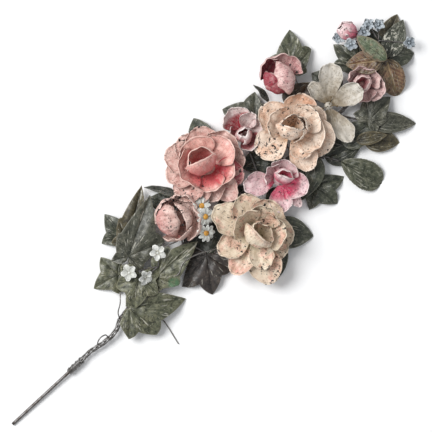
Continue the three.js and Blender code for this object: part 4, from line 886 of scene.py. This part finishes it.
flowers = {
    # Pink rose: eleven broad outer petals
    "pink_rose_outer": {"slot": "rose_pink", "finishes": [pinkPaint], "seed": 1, "whorls": [
        {"middle": (38, 46, 16), "lean": 4, "towards": 90, "spiral": 3, "petals": [
            (183, 38, 34, 18, -8),
            (206, 35, 28, 18, -12),
            (148, 37, 32, 18, -10),
            (116, 39, 34, 18, -6),
            (86, 35, 32, 18, -8),
            (54, 36, 34, 18, -6),
            (6, 37, 38, 24, 2, {"tint": (0.2, 0.9, 0.2)}),
            (-30, 35, 34, 20, 0, {"tint": (0.5, 1.0, 0.2)}),
            (-64, 34, 32, 18, -10, {"tint": (0.75, 0.2, 0.7)}),
            (-94, 39, 26, 18, -14, {"tint": (0.3, 0.3, 0.9)}),
            (-122, 31, 28, 18, -10),
        ]},
    ]},
    # Pink rose: the closed cup on its inner petals
    "pink_rose_heart": {"slot": "rose_pink", "finishes": [pinkHeartPaint], "seed": 4, "whorls": [
        {"middle": (38, 46, 20.5), "lean": 10, "towards": 90, "eye": 1.4, "petals": [
            (150, 28, 44, 52, 40, {"wrap": 80, "tint": (0.8, 1.0, 0.25)}),
            (75, 28, 42, 50, 20, {"wrap": 70}),
            (0, 30, 38, 40, 2, {"wrap": 60, "tint": (0.3, 0.2, 0.9)}),
            (-62, 24, 30, 32, 2, {"wrap": 60, "tint": (1.0, 1.15, 0.35)}),
            (-118, 21, 30, 36, 4, {"wrap": 60, "tint": (0.9, 1.2, 0.3)}),
        ]},
        {"middle": (38, 49, 22), "lean": 16, "towards": 90, "eye": 0.8, "spiral": 2.5, "petals": [
            (246, 35.6, 46, 40, 150, {"wrap": 140, "round": 0.1, "bend": 1, "lip": 0,
             "ruffle": 0.3, "tint": (0.85, 1.5, 0.1)}),
            (66, 29.2, 46, 62, 96, {"wrap": 160, "tint": (0.55, 1.0, 0.2)}),
            (160, 24, 26, 62, 92, {"wrap": 110, "tint": (0.5, 1.0, 0.3)}),
        ]},
    ]},
    # Peach rose
    "peach_rose_outer": {"slot": "peach", "finishes": [peachPaint], "seed": 2, "whorls": [
        {"middle": (122, 12, 16), "lean": 4, "towards": -60, "spiral": 3, "petals": [
            (96, 34, 34, 18, 0, {"wrap": 60, "tint": (0.3, 0.3, 0.9)}),
            (168, 36, 34, 18, -8),
            (252, 39, 28, 18, -12, {"tint": (0.3, 0.2, 0.9)}),
            (300, 40, 40, 18, -10),
            (344, 34, 32, 18, -4, {"tint": (0.2, 0.3, 1.0)}),
            (20, 35, 38, 18, -4, {"tint": (0.55, 0.3, 0.9)}),
        ]},
    ]},
    "peach_rose_heart": {"slot": "peach", "finishes": [peachPaint], "seed": 6, "whorls": [
        {"middle": (123, 11, 20.5), "lean": 6, "towards": -20, "eye": 1.3, "petals": [
            (302, 27, 38, 34, 4, {"wrap": 60}),
            (356, 26, 36, 40, 8, {"wrap": 60}),
            (252, 24, 26, 26, 2, {"wrap": 50}),
            (105, 25, 36, 46, 20, {"wrap": 60, "tint": (0.25, 1.0, 0.3)}),
        ]},
        {"middle": (123, 12, 22), "lean": 10, "towards": 30, "eye": 0.8, "spiral": 4, "petals": [
            (205, 34.6, 42, 40, 150, {"wrap": 140, "round": 0.1, "bend": 1, "lip": 0.2,
             "ruffle": 0.4, "tint": (0.35, 0.2, 0.8)}),
            (292, 24, 30, 60, 84, {"wrap": 110, "tint": (0.3, 1.0, 0.2)}),
            (30, 27.6, 44, 62, 94, {"wrap": 160, "tint": (0.4, 1.1, 0.4)}),
        ]},
    ]},
    # Cream rose
    "cream_rose_outer": {"slot": "cream", "finishes": [creamPaint], "seed": 3, "whorls": [
        {"middle": (25, -36, 15), "lean": 5, "towards": -80, "spiral": 3, "petals": [
            (104, 46, 34, 18, -4),
            (64, 38, 34, 18, -4),
            (14, 33, 38, 18, -8, {"tint": (0.5, 0.7, 1.0)}),
            (-46, 33, 34, 18, -8),
            (-80, 31, 30, 18, -10),
            (-119, 47, 34, 18, -12, {"tint": (0.35, 0.2, 1.0)}),
            (194, 41, 26, 18, -12, {"tint": (0.6, 0.3, 0.9)}),
            (158, 37, 28, 18, -10, {"tint": (0.3, 0.3, 0.9)}),
        ]},
    ]},
    "cream_rose_heart": {"slot": "cream", "finishes": [creamPaint], "seed": 8, "whorls": [
        {"middle": (25, -36, 19.5), "lean": 6, "towards": -60, "eye": 1.3, "petals": [
            (92, 30, 40, 50, 48, {"wrap": 70}),
            (30, 30, 40, 44, 40, {"wrap": 80, "tint": (0.3, 0.8, 1.0)}),
            (-36, 28, 40, 40, 36, {"wrap": 90}),
            (-122, 30, 26, 30, 0, {"wrap": 60}),
        ]},
        {"middle": (23, -37, 21), "lean": 14, "towards": -20, "eye": 0.8, "spiral": 2.5, "petals": [
            (178, 34, 42, 40, 150, {"wrap": 140, "round": 0.1, "bend": 1, "tint": (0.45, 0.5, 1.0)}),
            (88, 26, 30, 60, 100, {"wrap": 110}),
            (325, 23, 36, 44, 96, {"wrap": 150}),
        ]},
    ]},
    # Buds and smaller roses
    "blush_bud": {"slot": "rose_pink", "finishes": [blushPaint], "seed": 5, "whorls": [
        {"middle": (-20, 31, 14), "lean": 8, "towards": 150, "eye": 1.3, "spiral": 2, "petals": [
            (152, 49, 60, 0, 218, {"wrap": 172, "round": 0.1, "bend": 0.8, "tint": (0.62, 1.3, 0.3)}),
            (240, 30, 36, 0, 112, {"wrap": 100, "bend": 0.8, "tint": (0.3, 0.6, 0.1)}),
            (300, 31, 40, 0, 104, {"wrap": 110, "tint": (0.3, 0.5, 0.1)}),
            (335, 30, 36, 10, 140, {"wrap": 130, "bend": 0.8, "tint": (0.35, 0.9, 0.3)}),
            (15, 31, 36, 0, 110, {"wrap": 110}),
            (90, 29, 38, 0, 114, {"wrap": 100, "bend": 0.8}),
        ]},
    ]},
    "crimson_bud": {"slot": "crimson", "finishes": [crimsonPaint], "seed": 7, "whorls": [
        {"middle": (151, 56, 14), "lean": 6, "towards": 120, "eye": 1.1, "spiral": 2, "petals": [
            (335, 39, 42, 0, 208, {"wrap": 110, "round": 0.1, "bend": 0.8, "tint": (0.25, 0.5, 0.1)}),
            (236, 35, 34, 0, 206, {"wrap": 110, "round": 0.1, "bend": 0.8, "tint": (1.0, 1.6, 0.45)}),
            (165, 35, 30, 0, 198, {"wrap": 110, "bend": 0.8, "tint": (1.1, 1.8, 0.9)}),
            (90, 27, 32, 10, 110, {"wrap": 110, "tint": (0.95, 1.4, 0.5)}),
            (15, 27, 40, 0, 80, {"wrap": 100, "tint": (0.35, 0.9, 0.2)}),
        ]},
    ]},
    "red_white_rose": {"slot": "crimson", "finishes": [redWhitePaint], "seed": 9, "whorls": [
        {"middle": (87, 45, 11), "lean": 8, "towards": 40, "eye": 0.8, "spiral": 2, "petals": [
            (74, 24.5, 36, 26, 32, {"wrap": 110, "tint": (1.0, 0.78, 0.45)}),
            (16, 22, 20, 44, 36, {"wrap": 110}),
            (332, 22, 20, 30, 20, {"wrap": 80}),
            (262, 20, 26, 24, 40, {"wrap": 90, "tint": (0.85, 1.1, 0.6)}),
            (160, 14, 22, 40, 80, {"wrap": 100, "tint": (0.9, 1.2, 0.5)}),
        ]},
        {"middle": (87, 43, 13), "lean": 8, "towards": 250, "eye": 0.5, "spiral": 1.5, "petals": [
            (290, 24, 22, 50, 165, {"wrap": 130, "tint": (0.95, 1.2, 0.5)}),
            (200, 23, 20, 56, 158, {"wrap": 130, "tint": (1.0, 1.25, 0.5)}),
            (60, 18, 22, 56, 100, {"wrap": 130, "tint": (0.9, 1.4, 0.4)}),
        ]},
    ]},
    "pink_white_rose": {"slot": "rose_pink", "finishes": [pinkWhitePaint], "seed": 10, "whorls": [
        {"middle": (80, -14, 14), "lean": 6, "towards": -40, "petals": [
            (146, 33, 26, 18, 4, {"wrap": 60, "tint": (0.6, 0.5, 0.15)}),
            (228, 28, 24, 12, -6, {"tint": (0.9, 0.75, 0.3)}),
            (264, 29, 18, 10, -8, {"round": 0.5, "tint": (0.95, 0.9, 0.35)}),
            (294, 27, 30, 30, 20, {"wrap": 90, "tint": (1.0, 0.85, 0.35)}),
            (20, 19, 34, 36, 40, {"wrap": 100, "tint": (0.5, 0.8, 0.2)}),
            (100, 17, 28, 40, 60, {"wrap": 100, "tint": (0.4, 0.8, 0.2)}),
        ]},
        {"middle": (84, -14, 17), "lean": 12, "towards": -20, "eye": 0.6, "spiral": 2, "petals": [
            (200, 25, 26, 60, 140, {"wrap": 130, "tint": (0.9, 1.2, 0.4)}),
            (20, 16, 24, 62, 112, {"wrap": 130, "tint": (0.85, 1.2, 0.4)}),
        ]},
    ]},
    # White lily
    "white_lily": {"slot": "white", "finishes": [lilyPaint, stamenPaint], "seed": 11, "whorls": [
        {"middle": (167, 3, 12), "eye": 0.7, "petals": [
            (84, 27, 18, 26, 2, {"wrap": 50, "belly": 0.85}),
            (42, 41, 26, 30, 0, {"wrap": 50, "round": 0.12, "belly": 0.9}),
            (-17, 39, 24, 48, 2, {"wrap": 40, "round": 0.12, "belly": 0.9}),
            (-103, 39, 22, 14, -10, {"wrap": 50, "belly": 0.9}),
            (-142, 20, 20, 4, -6, {"wrap": 40}),
        ]},
    ], "stamens": [
        [(166, 3.5, 12), (163, 4, 24), (160, 5.5, 32)],
        [(168.5, 4, 12), (171, 5, 24), (174, 7.5, 30)],
        [(167.5, 1.5, 12), (169, 1, 24), (172, -3, 31)],
    ]},
    # Dusty rose and the small bud at the tip
    "dusty_rose": {"slot": "rose_pink", "finishes": [dustyPaint], "seed": 12, "whorls": [
        {"middle": (205, -5, 8), "lean": 4, "towards": -60, "eye": 0.8, "spiral": 1, "petals": [
            (62, 20, 30, 32, 62, {"wrap": 110, "tint": (0.45, 0.9, 0.3)}),
            (350, 20, 28, 28, 56, {"wrap": 100, "tint": (0.4, 0.8, 0.2)}),
            (300, 22, 28, 22, 30, {"wrap": 80}),
            (236, 17, 28, 24, 50, {"wrap": 90}),
            (140, 13, 24, 36, 60, {"wrap": 100}),
        ]},
        {"middle": (205.5, -4.5, 10), "lean": 10, "towards": -10, "eye": 0.5, "spiral": 2, "petals": [
            (30, 15, 24, 48, 120, {"wrap": 140, "tint": (0.6, 1.1, 0.3)}),
            (150, 13, 22, 52, 96, {"wrap": 140, "tint": (0.6, 1.1, 0.3)}),
            (270, 17, 24, 44, 130, {"wrap": 140, "tint": (0.4, 1.0, 0.3)}),
        ]},
    ]},
    "small_bud": {"slot": "rose_pink", "finishes": [pinkWhitePaint], "seed": 13, "whorls": [
        {"middle": (236, 34, 12), "lean": 64, "towards": 110, "eye": 0.5, "spiral": 1.5, "petals": [
            (90, 23, 22, 56, 146, {"wrap": 110, "tint": (0.5, 1.2, 0.2)}),
            (180, 24, 22, 52, 150, {"wrap": 110, "tint": (0.6, 1.3, 0.2)}),
            (270, 23, 22, 56, 140, {"wrap": 110, "tint": (0.9, 1.2, 0.2)}),
            (0, 23, 22, 52, 152, {"wrap": 110, "tint": (0.7, 1.3, 0.2)}),
        ]},
    ]},
}
for node, flower in flowers.items():
    flowerPiece(node, flower)
print("flowers made")


# Small flowers on short wires: each has its middle, lean and heading

blossom = {"count": 5, "reach": 9.2, "wide": 7.6, "eye": 1.5}
smallBlossom = {**blossom, "reach": 7.2, "wide": 6.4}
daisy = {"count": 9, "reach": 10.5, "wide": 5.0, "root": 0.6, "round": 0.25, "rise": 14, "end": -26,
         "wrap": 50, "eye": 3.1, "puff": 0.2, "crease": 0.35}
blues = {"slot": "pale_blue", "kind": smallBlossom, "finishes": [bluePaint, bluePaint, darkWire]}
sprigs = {
    "florets_white": {"slot": "white", "kind": blossom, "finishes": [whitePaint, whitePaint, darkWire],
                      "meet": (-66, 10, 16), "florets": [
        ((-91, 26, 22), 10, 120), ((-83, 12, 22), 35, -80), ((-57, 20, 24), 10, 0)]},
    "daisies": {"slot": "white", "kind": daisy, "finishes": [whitePaint, yellowPaint, darkWire],
                "meet": (2, 6, 14), "florets": [
        ((7, 22, 25), 10, 60), ((2, 12, 29), 30, -60), ((-9, 0, 26), 30, -80)]},
    "florets_blue_inner": {**blues, "meet": (236, 22, 12), "florets": [
        ((222, 44, 15), 30, 180), ((226, 31, 19), 20, 200), ((244, 30, 15), 10, 90)]},
    "florets_blue_tip": {**blues, "meet": (248, 14, 14), "florets": [
        ((252, 32, 17), 20, 120), ((259, 25, 18), 10, 60), ((268, -9, 13), 20, -30)]},
}
for node, sprig in sprigs.items():
    sprigPiece(node, sprig)
print("small flowers made")


# Leaves, from the ones on top down. Pointed leaves have a width, ivy leaves have side lobes:
# heading from the main lobe in degrees, and length as a share of it.

leaves = {
    "light_leaf": ("ivy_green", {"paint": "sage", "from": (239, -5, 23), "to": (235, 32, 24), "wide": 17,
        "swell": 0.6, "taper": 0.75, "emboss": 0.35, "tint": (0.9, 0.2, 1.0)}),
    "leaf_bronze_inner": ("bronze_brown", {"paint": "bronze", "from": (236, -2, 18), "to": (208, 20, 11),
        "wide": 24, "teeth": 16, "emboss": 0.8, "spacing": 4.6}),
    "leaf_bronze_low": ("bronze_brown", {"paint": "bronze", "from": (240, -5, 14), "to": (223, -38, 0.3),
        "wide": 26, "swell": 0.5, "taper": 0.6, "teeth": 18, "emboss": 0.8, "spacing": 4.6}),
    "leaf_tip_spotted": ("ivy_green", {"paint": "spotted", "from": (243, -3, 11), "to": (280.7, 11.4, 3),
        "wide": 22}),
    "leaf_tip_back": ("dark_green", {"paint": "ochre", "from": (249, 7, 6), "to": (280.5, 19.5, 0.3),
        "wide": 20}),
    "leaf_tip_low": ("dark_green", {"paint": "darkGrey", "from": (243, -6, 12), "to": (265, -20, 0.3),
        "wide": 20}),
    "leaf_tip_small": ("ivy_green", {"paint": "dark", "from": (244, 9, 7), "to": (250, 31, 6), "wide": 14}),
    "ivy_upper_right": ("dark_green", {"paint": "darkGrey", "from": (218, 8, 6), "to": (214, 43, 4),
        "lobes": [(37, 0.79), (-44, 0.65), (95, 0.4)]}),
    "leaf_under_dusty": ("dark_green", {"paint": "darkGrey", "from": (229, 4, 3), "to": (212, -13, 2),
        "arch": 0, "wide": 22}),
    "leaf_behind_lily": ("dark_green", {"paint": "darkGrey", "from": (187, 6, 10), "to": (178, 38, 7),
        "wide": 28}),
    "ivy_top_right": ("ivy_green", {"paint": "olive", "from": (166, 53, 9), "to": (193.5, 84.5, 0.3),
        "lobes": [(-43, 0.69), (67, 0.68), (-97, 0.32), (115, 0.3)]}),
    "leaf_bronze_top": ("bronze_brown", {"paint": "chestnut", "from": (138, 25, 12), "to": (170, 33, 11),
        "wide": 36}),
    "leaf_narrow_top": ("dark_green", {"paint": "dark", "from": (127, 48, 12), "to": (128.5, 71, 11),
        "wide": 12, "roll": 60}),
    "ivy_top_middle": ("ivy_green", {"paint": "grey", "from": (106, 46, 10), "to": (90, 76, 1),
        "lobes": [(36, 0.9), (-71, 0.77), (-115, 0.5)]}),
    "leaf_over_rose": ("ivy_green", {"paint": "darkGrey", "from": (52, 62, 9), "to": (63.4, 89.8, 0.3),
        "wide": 24, "teeth": 14}),
    "ivy_over_foot": ("ivy_green", {"paint": "lightOlive", "from": (-86, 17, 17), "to": (-114, -3, 12),
        "lobes": [(55, 0.75), (-55, 0.75), (108, 0.6), (-108, 0.6)]}),
    "ivy_centre": ("ivy_green", {"paint": "lightOlive", "from": (-75, 4, 13), "to": (-21, 0, 12),
        "lobes": [(34, 0.58), (-61, 0.44), (-132, 0.3)], "spots": [(-67, -13, 7)]}),
    "ivy_grey_front": ("ivy_green", {"paint": "grey", "from": (-80, 38, 14), "to": (-22, 66, 13),
        "lobes": [(-48, 0.6), (50, 0.35), (125, 0.28), (-120, 0.3)]}),
    "ivy_grey_back": ("dark_green", {"paint": "ochre", "from": (-70, 48, 7.5), "to": (-21, 79, 6),
        "lobes": [(-40, 0.4), (40, 0.4), (105, 0.3), (-105, 0.3)]}),
    "leaf_edge_on": ("dark_green", {"paint": "dark", "from": (-3, 42, 10), "to": (-20.5, 76, 6),
        "wide": 17, "roll": 62}),
    "leaf_behind_bud": ("dark_green", {"paint": "dark", "from": (-12, 40, 5), "to": (-25, 65, 3),
        "wide": 22}),
    "ivy_left": ("ivy_green", {"paint": "lightOlive", "from": (-101, 33, 7), "to": (-127.5, 40, 0.3),
        "lobes": [(-74, 0.87), (66, 0.69), (-125, 0.5), (115, 0.4)]}),
    "ivy_top_left": ("dark_green", {"paint": "darkGrey", "from": (-70, 55, 4), "to": (-67.5, 85, 0.3),
        "lobes": [(65, 0.77), (122, 0.4), (-55, 0.6), (-110, 0.4)]}),
    "ivy_foot": ("ivy_green", {"paint": "lightOlive", "from": (-116, 1, 12.5), "to": (-70, -32, 0.3),
        "lobes": [(-53, 0.66), (-99, 0.53), (64, 0.36)]}),
    "ivy_bronze": ("bronze_brown", {"paint": "blackBronze", "from": (-24, -16, 7), "to": (-48, -48, 0.3),
        "lobes": [(-45, 1), (49, 0.72), (-88, 0.5)]}),
    "leaf_dark_left": ("dark_green", {"paint": "dark", "from": (4, 2, 3), "to": (-44, -6, 2),
        "arch": 0.02, "wide": 36}),
    "leaf_between": ("dark_green", {"paint": "dark", "from": (52, -2, 3), "to": (18, 12, 3), "arch": 0.02,
        "wide": 20}),
    "leaf_dark_middle": ("dark_green", {"paint": "dark", "from": (97, 4, 4), "to": (62, 22, 3),
        "arch": 0.02, "wide": 30}),
    "leaf_grey_middle": ("dark_green", {"paint": "dark", "from": (70, -15, 4), "to": (56, -42, 3),
        "wide": 20}),
    "leaf_cream_right": ("dark_green", {"paint": "darkGrey", "from": (40, -45, 8), "to": (64.5, -78, 0.3),
        "wide": 32}),
    "leaf_cream_low": ("dark_green", {"paint": "dark", "from": (34, -56, 7), "to": (10, -83, 0.3),
        "wide": 22}),
    "leaf_wide_dark": ("dark_green", {"paint": "darkGrey", "from": (120, -14, 9), "to": (80, -44, 3),
        "wide": 40}),
    "ivy_low": ("dark_green", {"paint": "darkGrey", "from": (100, -42, 3), "to": (104.5, -72, 0.3),
        "lobes": [(-62, 0.8), (52, 1.07), (-105, 0.4), (95, 0.5)]}),
    "leaf_serrated_low": ("ivy_green", {"paint": "olive", "from": (136.5, -45, 8),
        "to": (150, -88.8, 0.3), "wide": 29, "swell": 0.75, "taper": 0.45, "teeth": 24, "emboss": 0.8,
        "spacing": 5.6}),
    "leaf_narrow_curl": ("ivy_green", {"paint": "ochre", "from": (162, -41, 12), "to": (188, -58.5, 8),
        "wide": 13}),
    "ivy_right_low": ("dark_green", {"paint": "grey", "from": (185, -36, 12), "to": (217.5, -34, 4),
        "lobes": [(50, 0.74), (-50, 0.5), (105, 0.5), (-105, 0.4)]}),
    "leaf_long_point": ("ivy_green", {"paint": "grey", "from": (185, -37, 9), "to": (216.5, -71, 0.3),
        "wide": 21}),
    "leaf_point_low": ("dark_green", {"paint": "ochre", "from": (170, -44, 4), "to": (191.5, -73, 0.3),
        "wide": 25}),
    "leaf_under_lily": ("dark_green", {"paint": "dark", "from": (128, -31, 3), "to": (164, -47, 2),
        "arch": 0.02, "wide": 26}),
    "leaf_low_right": ("dark_green", {"paint": "darkGrey", "from": (150, -34, 8), "to": (188, -40, 8),
        "arch": 0.02, "wide": 26}),
}
for node, (slot, leaf) in leaves.items():
    leafPiece(node, leaf, leafPaints[leaf["paint"]])
print("leaves made")


# Stem rod, the wires bound round its end, and the bundle that carries every leaf and flower

stem = {
    "rodStart": (-280.98, 1.49, 1.6), "heading": (92, -3.5, 3.4), "rodLength": 92, "rodDiameter": 3.2,
    "strand": 1.4, "strands": 5, "bindingLength": 15, "windings": 2.6, "windingRadius": 2.45,
    "twists": 1.2, "twistRadius": 1.85, "crossing": 1.2, "crossings": 1.6, "crossingRadius": 3.1,
    "loopWire": 1.3,
    "run": [(-175, -2, 6), (-160, -5, 6.5), (-147, -6, 7), (-138, -4, 7), (-131, 0, 6)],
    "loop": [(-166, -4.5, 7), (-163, -1, 8), (-157.5, 0.6, 8.5), (-152, -1, 8), (-152.5, -4.6, 7.5),
             (-158, -5.5, 6.5)],
}
rodHeading = np.array(stem["heading"]) / np.linalg.norm(stem["heading"])
rodStart = np.array(stem["rodStart"])
rodTop = rodStart + rodHeading * stem["rodLength"]
rodRoute = [rodStart + rodHeading * stem["rodLength"] * t for t in np.linspace(0, 1, 24)]
makePiece("stem_rod", [tubeShell(rodRoute, stem["rodDiameter"], 28)], [darkWire])

bindingStart = rodTop - rodHeading * stem["bindingLength"]
wound = {"Strands": stem["strands"], "Wire diameter": stem["strand"], "Sides": 9}
bindings = [
    wireShell([[bindingStart, rodTop]], {
        **wound, "Bundle radius": stem["windingRadius"], "Turns": stem["windings"], "Segments": 110}),
    wireShell([smoothRoute([rodTop, *stem["run"]], 60)], {
        **wound, "Bundle radius": stem["twistRadius"], "Turns": stem["twists"], "Segments": 150}),
    wireShell([[bindingStart + rodHeading * 2, rodTop + rodHeading * 3]], {
        "Strands": 2, "Wire diameter": stem["crossing"], "Bundle radius": stem["crossingRadius"],
        "Turns": -stem["crossings"], "Segments": 90}),
    wireShell([smoothRoute(stem["loop"], 40)], {**single, "Wire diameter": stem["loopWire"], "Segments": 50}),
]
makePiece("stem_binding", bindings, [silverWire])

trunk = {
    "route": [(-131, 0, 6), (-100, 4, 8), (-50, 8, 9), (0, 5, 9), (50, 2, 9), (100, -5, 9), (150, -10, 8),
              (200, -8, 7), (243, -5, 9)],
    "strands": 5, "strand": 1.5, "spread": 1.35, "turns": 14, "branch": 1.4, "loose": 1.2, "lag": 0.45,
}
looseWires = [
    [(-131, 0, 6), (-127, 6, 12), (-119, 11, 16), (-111, 19, 15)],
    [(-114, 3, 7.5), (-105, -12, 3), (-101, -30, 1.2), (-107, -59, 0.9)],
    [(-70, 8, 9), (-58, 20, 19), (-48, 19, 21), (-34, 14, 19)],
    [(-75, 8, 9), (-60, -9, 17), (-46, -5, 19), (-30, -9, 17), (-12, -19, 12)],
]
trunkRoute = smoothRoute(trunk["route"], 200)
trunkSteps = np.concatenate([[0], np.cumsum(np.linalg.norm(np.diff(trunkRoute, axis=0), axis=1))])
trunkFirst, trunkLast = trunk["route"][0][0], trunk["route"][-1][0]


def branchRoute(end, rise=0):
    # a wire leaves the trunk, runs low, and comes up to a leaf or flower from below
    x, y, z = end
    share = (x - trunk["lag"] * abs(y) - trunkFirst) / (trunkLast - trunkFirst)
    share = min(max(share, 0.02), 0.96)
    start = np.array([np.interp(share * trunkSteps[-1], trunkSteps, trunkRoute[:, k]) for k in range(3)])
    end = np.array(end, dtype=float)
    middle = lerp(start, end, 0.6)
    middle[2] = lerp(start[2], end[2], 0.35)
    return smoothRoute([start, middle, *([end - (0, 0, rise)] if rise else []), end], 12)


branchRoutes = []
under = 1.45  # a branch ends this far behind and below the leaf's foot
for slot, leaf in leaves.values():
    turn, base, length = leafTurn(leaf)
    branchRoutes.append(branchRoute(base + turn @ (-under, 0, -under)))
for node, flower in flowers.items():
    if not node.endswith("_heart"):
        x, y, z = flower["whorls"][0]["middle"]
        branchRoutes.append(branchRoute((x, y, z - 1), 5))
for sprig in sprigs.values():
    branchRoutes.append(branchRoute(sprig["meet"]))
bundle = [
    wireShell([trunkRoute], {
        "Strands": trunk["strands"], "Wire diameter": trunk["strand"], "Bundle radius": trunk["spread"],
        "Turns": trunk["turns"], "Segments": 420, "Sides": 7}),
    wireShell(branchRoutes, {**single, "Wire diameter": trunk["branch"], "Segments": 14}),
    wireShell([smoothRoute(route, 40) for route in looseWires], {
        **single, "Wire diameter": trunk["loose"], "Segments": 60}, 1),
]
makePiece("wire_bundle", bundle, [darkWire, greyWire])
print("wires made")


# Floor, light and camera


def plainSurface(name, colour, roughness):
    # matt studio paper: an even white with no gloss
    material = bpy.data.materials.new(name)
    material.use_nodes = True
    shader = material.node_tree.nodes["Principled BSDF"]
    shader.inputs["Base Color"].default_value = linearColour(colour)
    shader.inputs["Roughness"].default_value = roughness
    shader.inputs["Specular IOR Level"].default_value = 0.1
    return material


# metres; width is what the camera sees across the object's plane
studio = {
    "floorSize": 6.0, "floorColour": "#fbfbfb", "skyColour": "#f7f9fc", "ambient": 0.51,
    "keyPower": 60, "keySize": 1.5, "keyPlace": (-0.5, 1.5, 1.9), "lens": 300, "sensor": 36,
    "width": 0.432, "aim": (0.0099, 0.00493), "turn": -45,
}
half = studio["floorSize"] / 2
paper = bpy.data.meshes.new("paper")
corners = [(-half, -half, 0), (half, -half, 0), (half, half, 0), (-half, half, 0)]
paper.from_pydata(corners, [], [(0, 1, 2, 3)])
paper.materials.append(plainSurface("mattWhitePaper", studio["floorColour"], 0.9))
floor = addObject("paper", paper)

world = bpy.data.worlds.new("studio")
world.use_nodes = True
sky = world.node_tree.nodes["Background"].inputs
sky["Color"].default_value = linearColour(studio["skyColour"])
sky["Strength"].default_value = studio["ambient"]
bpy.context.scene.world = world
bpy.context.scene.view_settings.view_transform = "Standard"

key = bpy.data.lights.new("key", "AREA")
key.shape = "DISK"
key.size = studio["keySize"]
key.energy = studio["keyPower"]
keyLight = addObject("key", key)
keyLight.location = studio["keyPlace"]
away = np.array(studio["keyPlace"])
down = math.acos(away[2] / np.linalg.norm(away))
keyLight.rotation_euler = (down, 0, math.atan2(away[1], away[0]) + math.pi / 2)

lens = bpy.data.cameras.new("camera")
lens.lens = studio["lens"]
lens.sensor_width = studio["sensor"]
lens.clip_end = 20
camera = addObject("camera", lens)
camera.location = (*studio["aim"], studio["width"] * studio["lens"] / studio["sensor"])
camera.rotation_euler = (0, 0, math.radians(studio["turn"]))
bpy.context.scene.camera = camera
print("stage set")
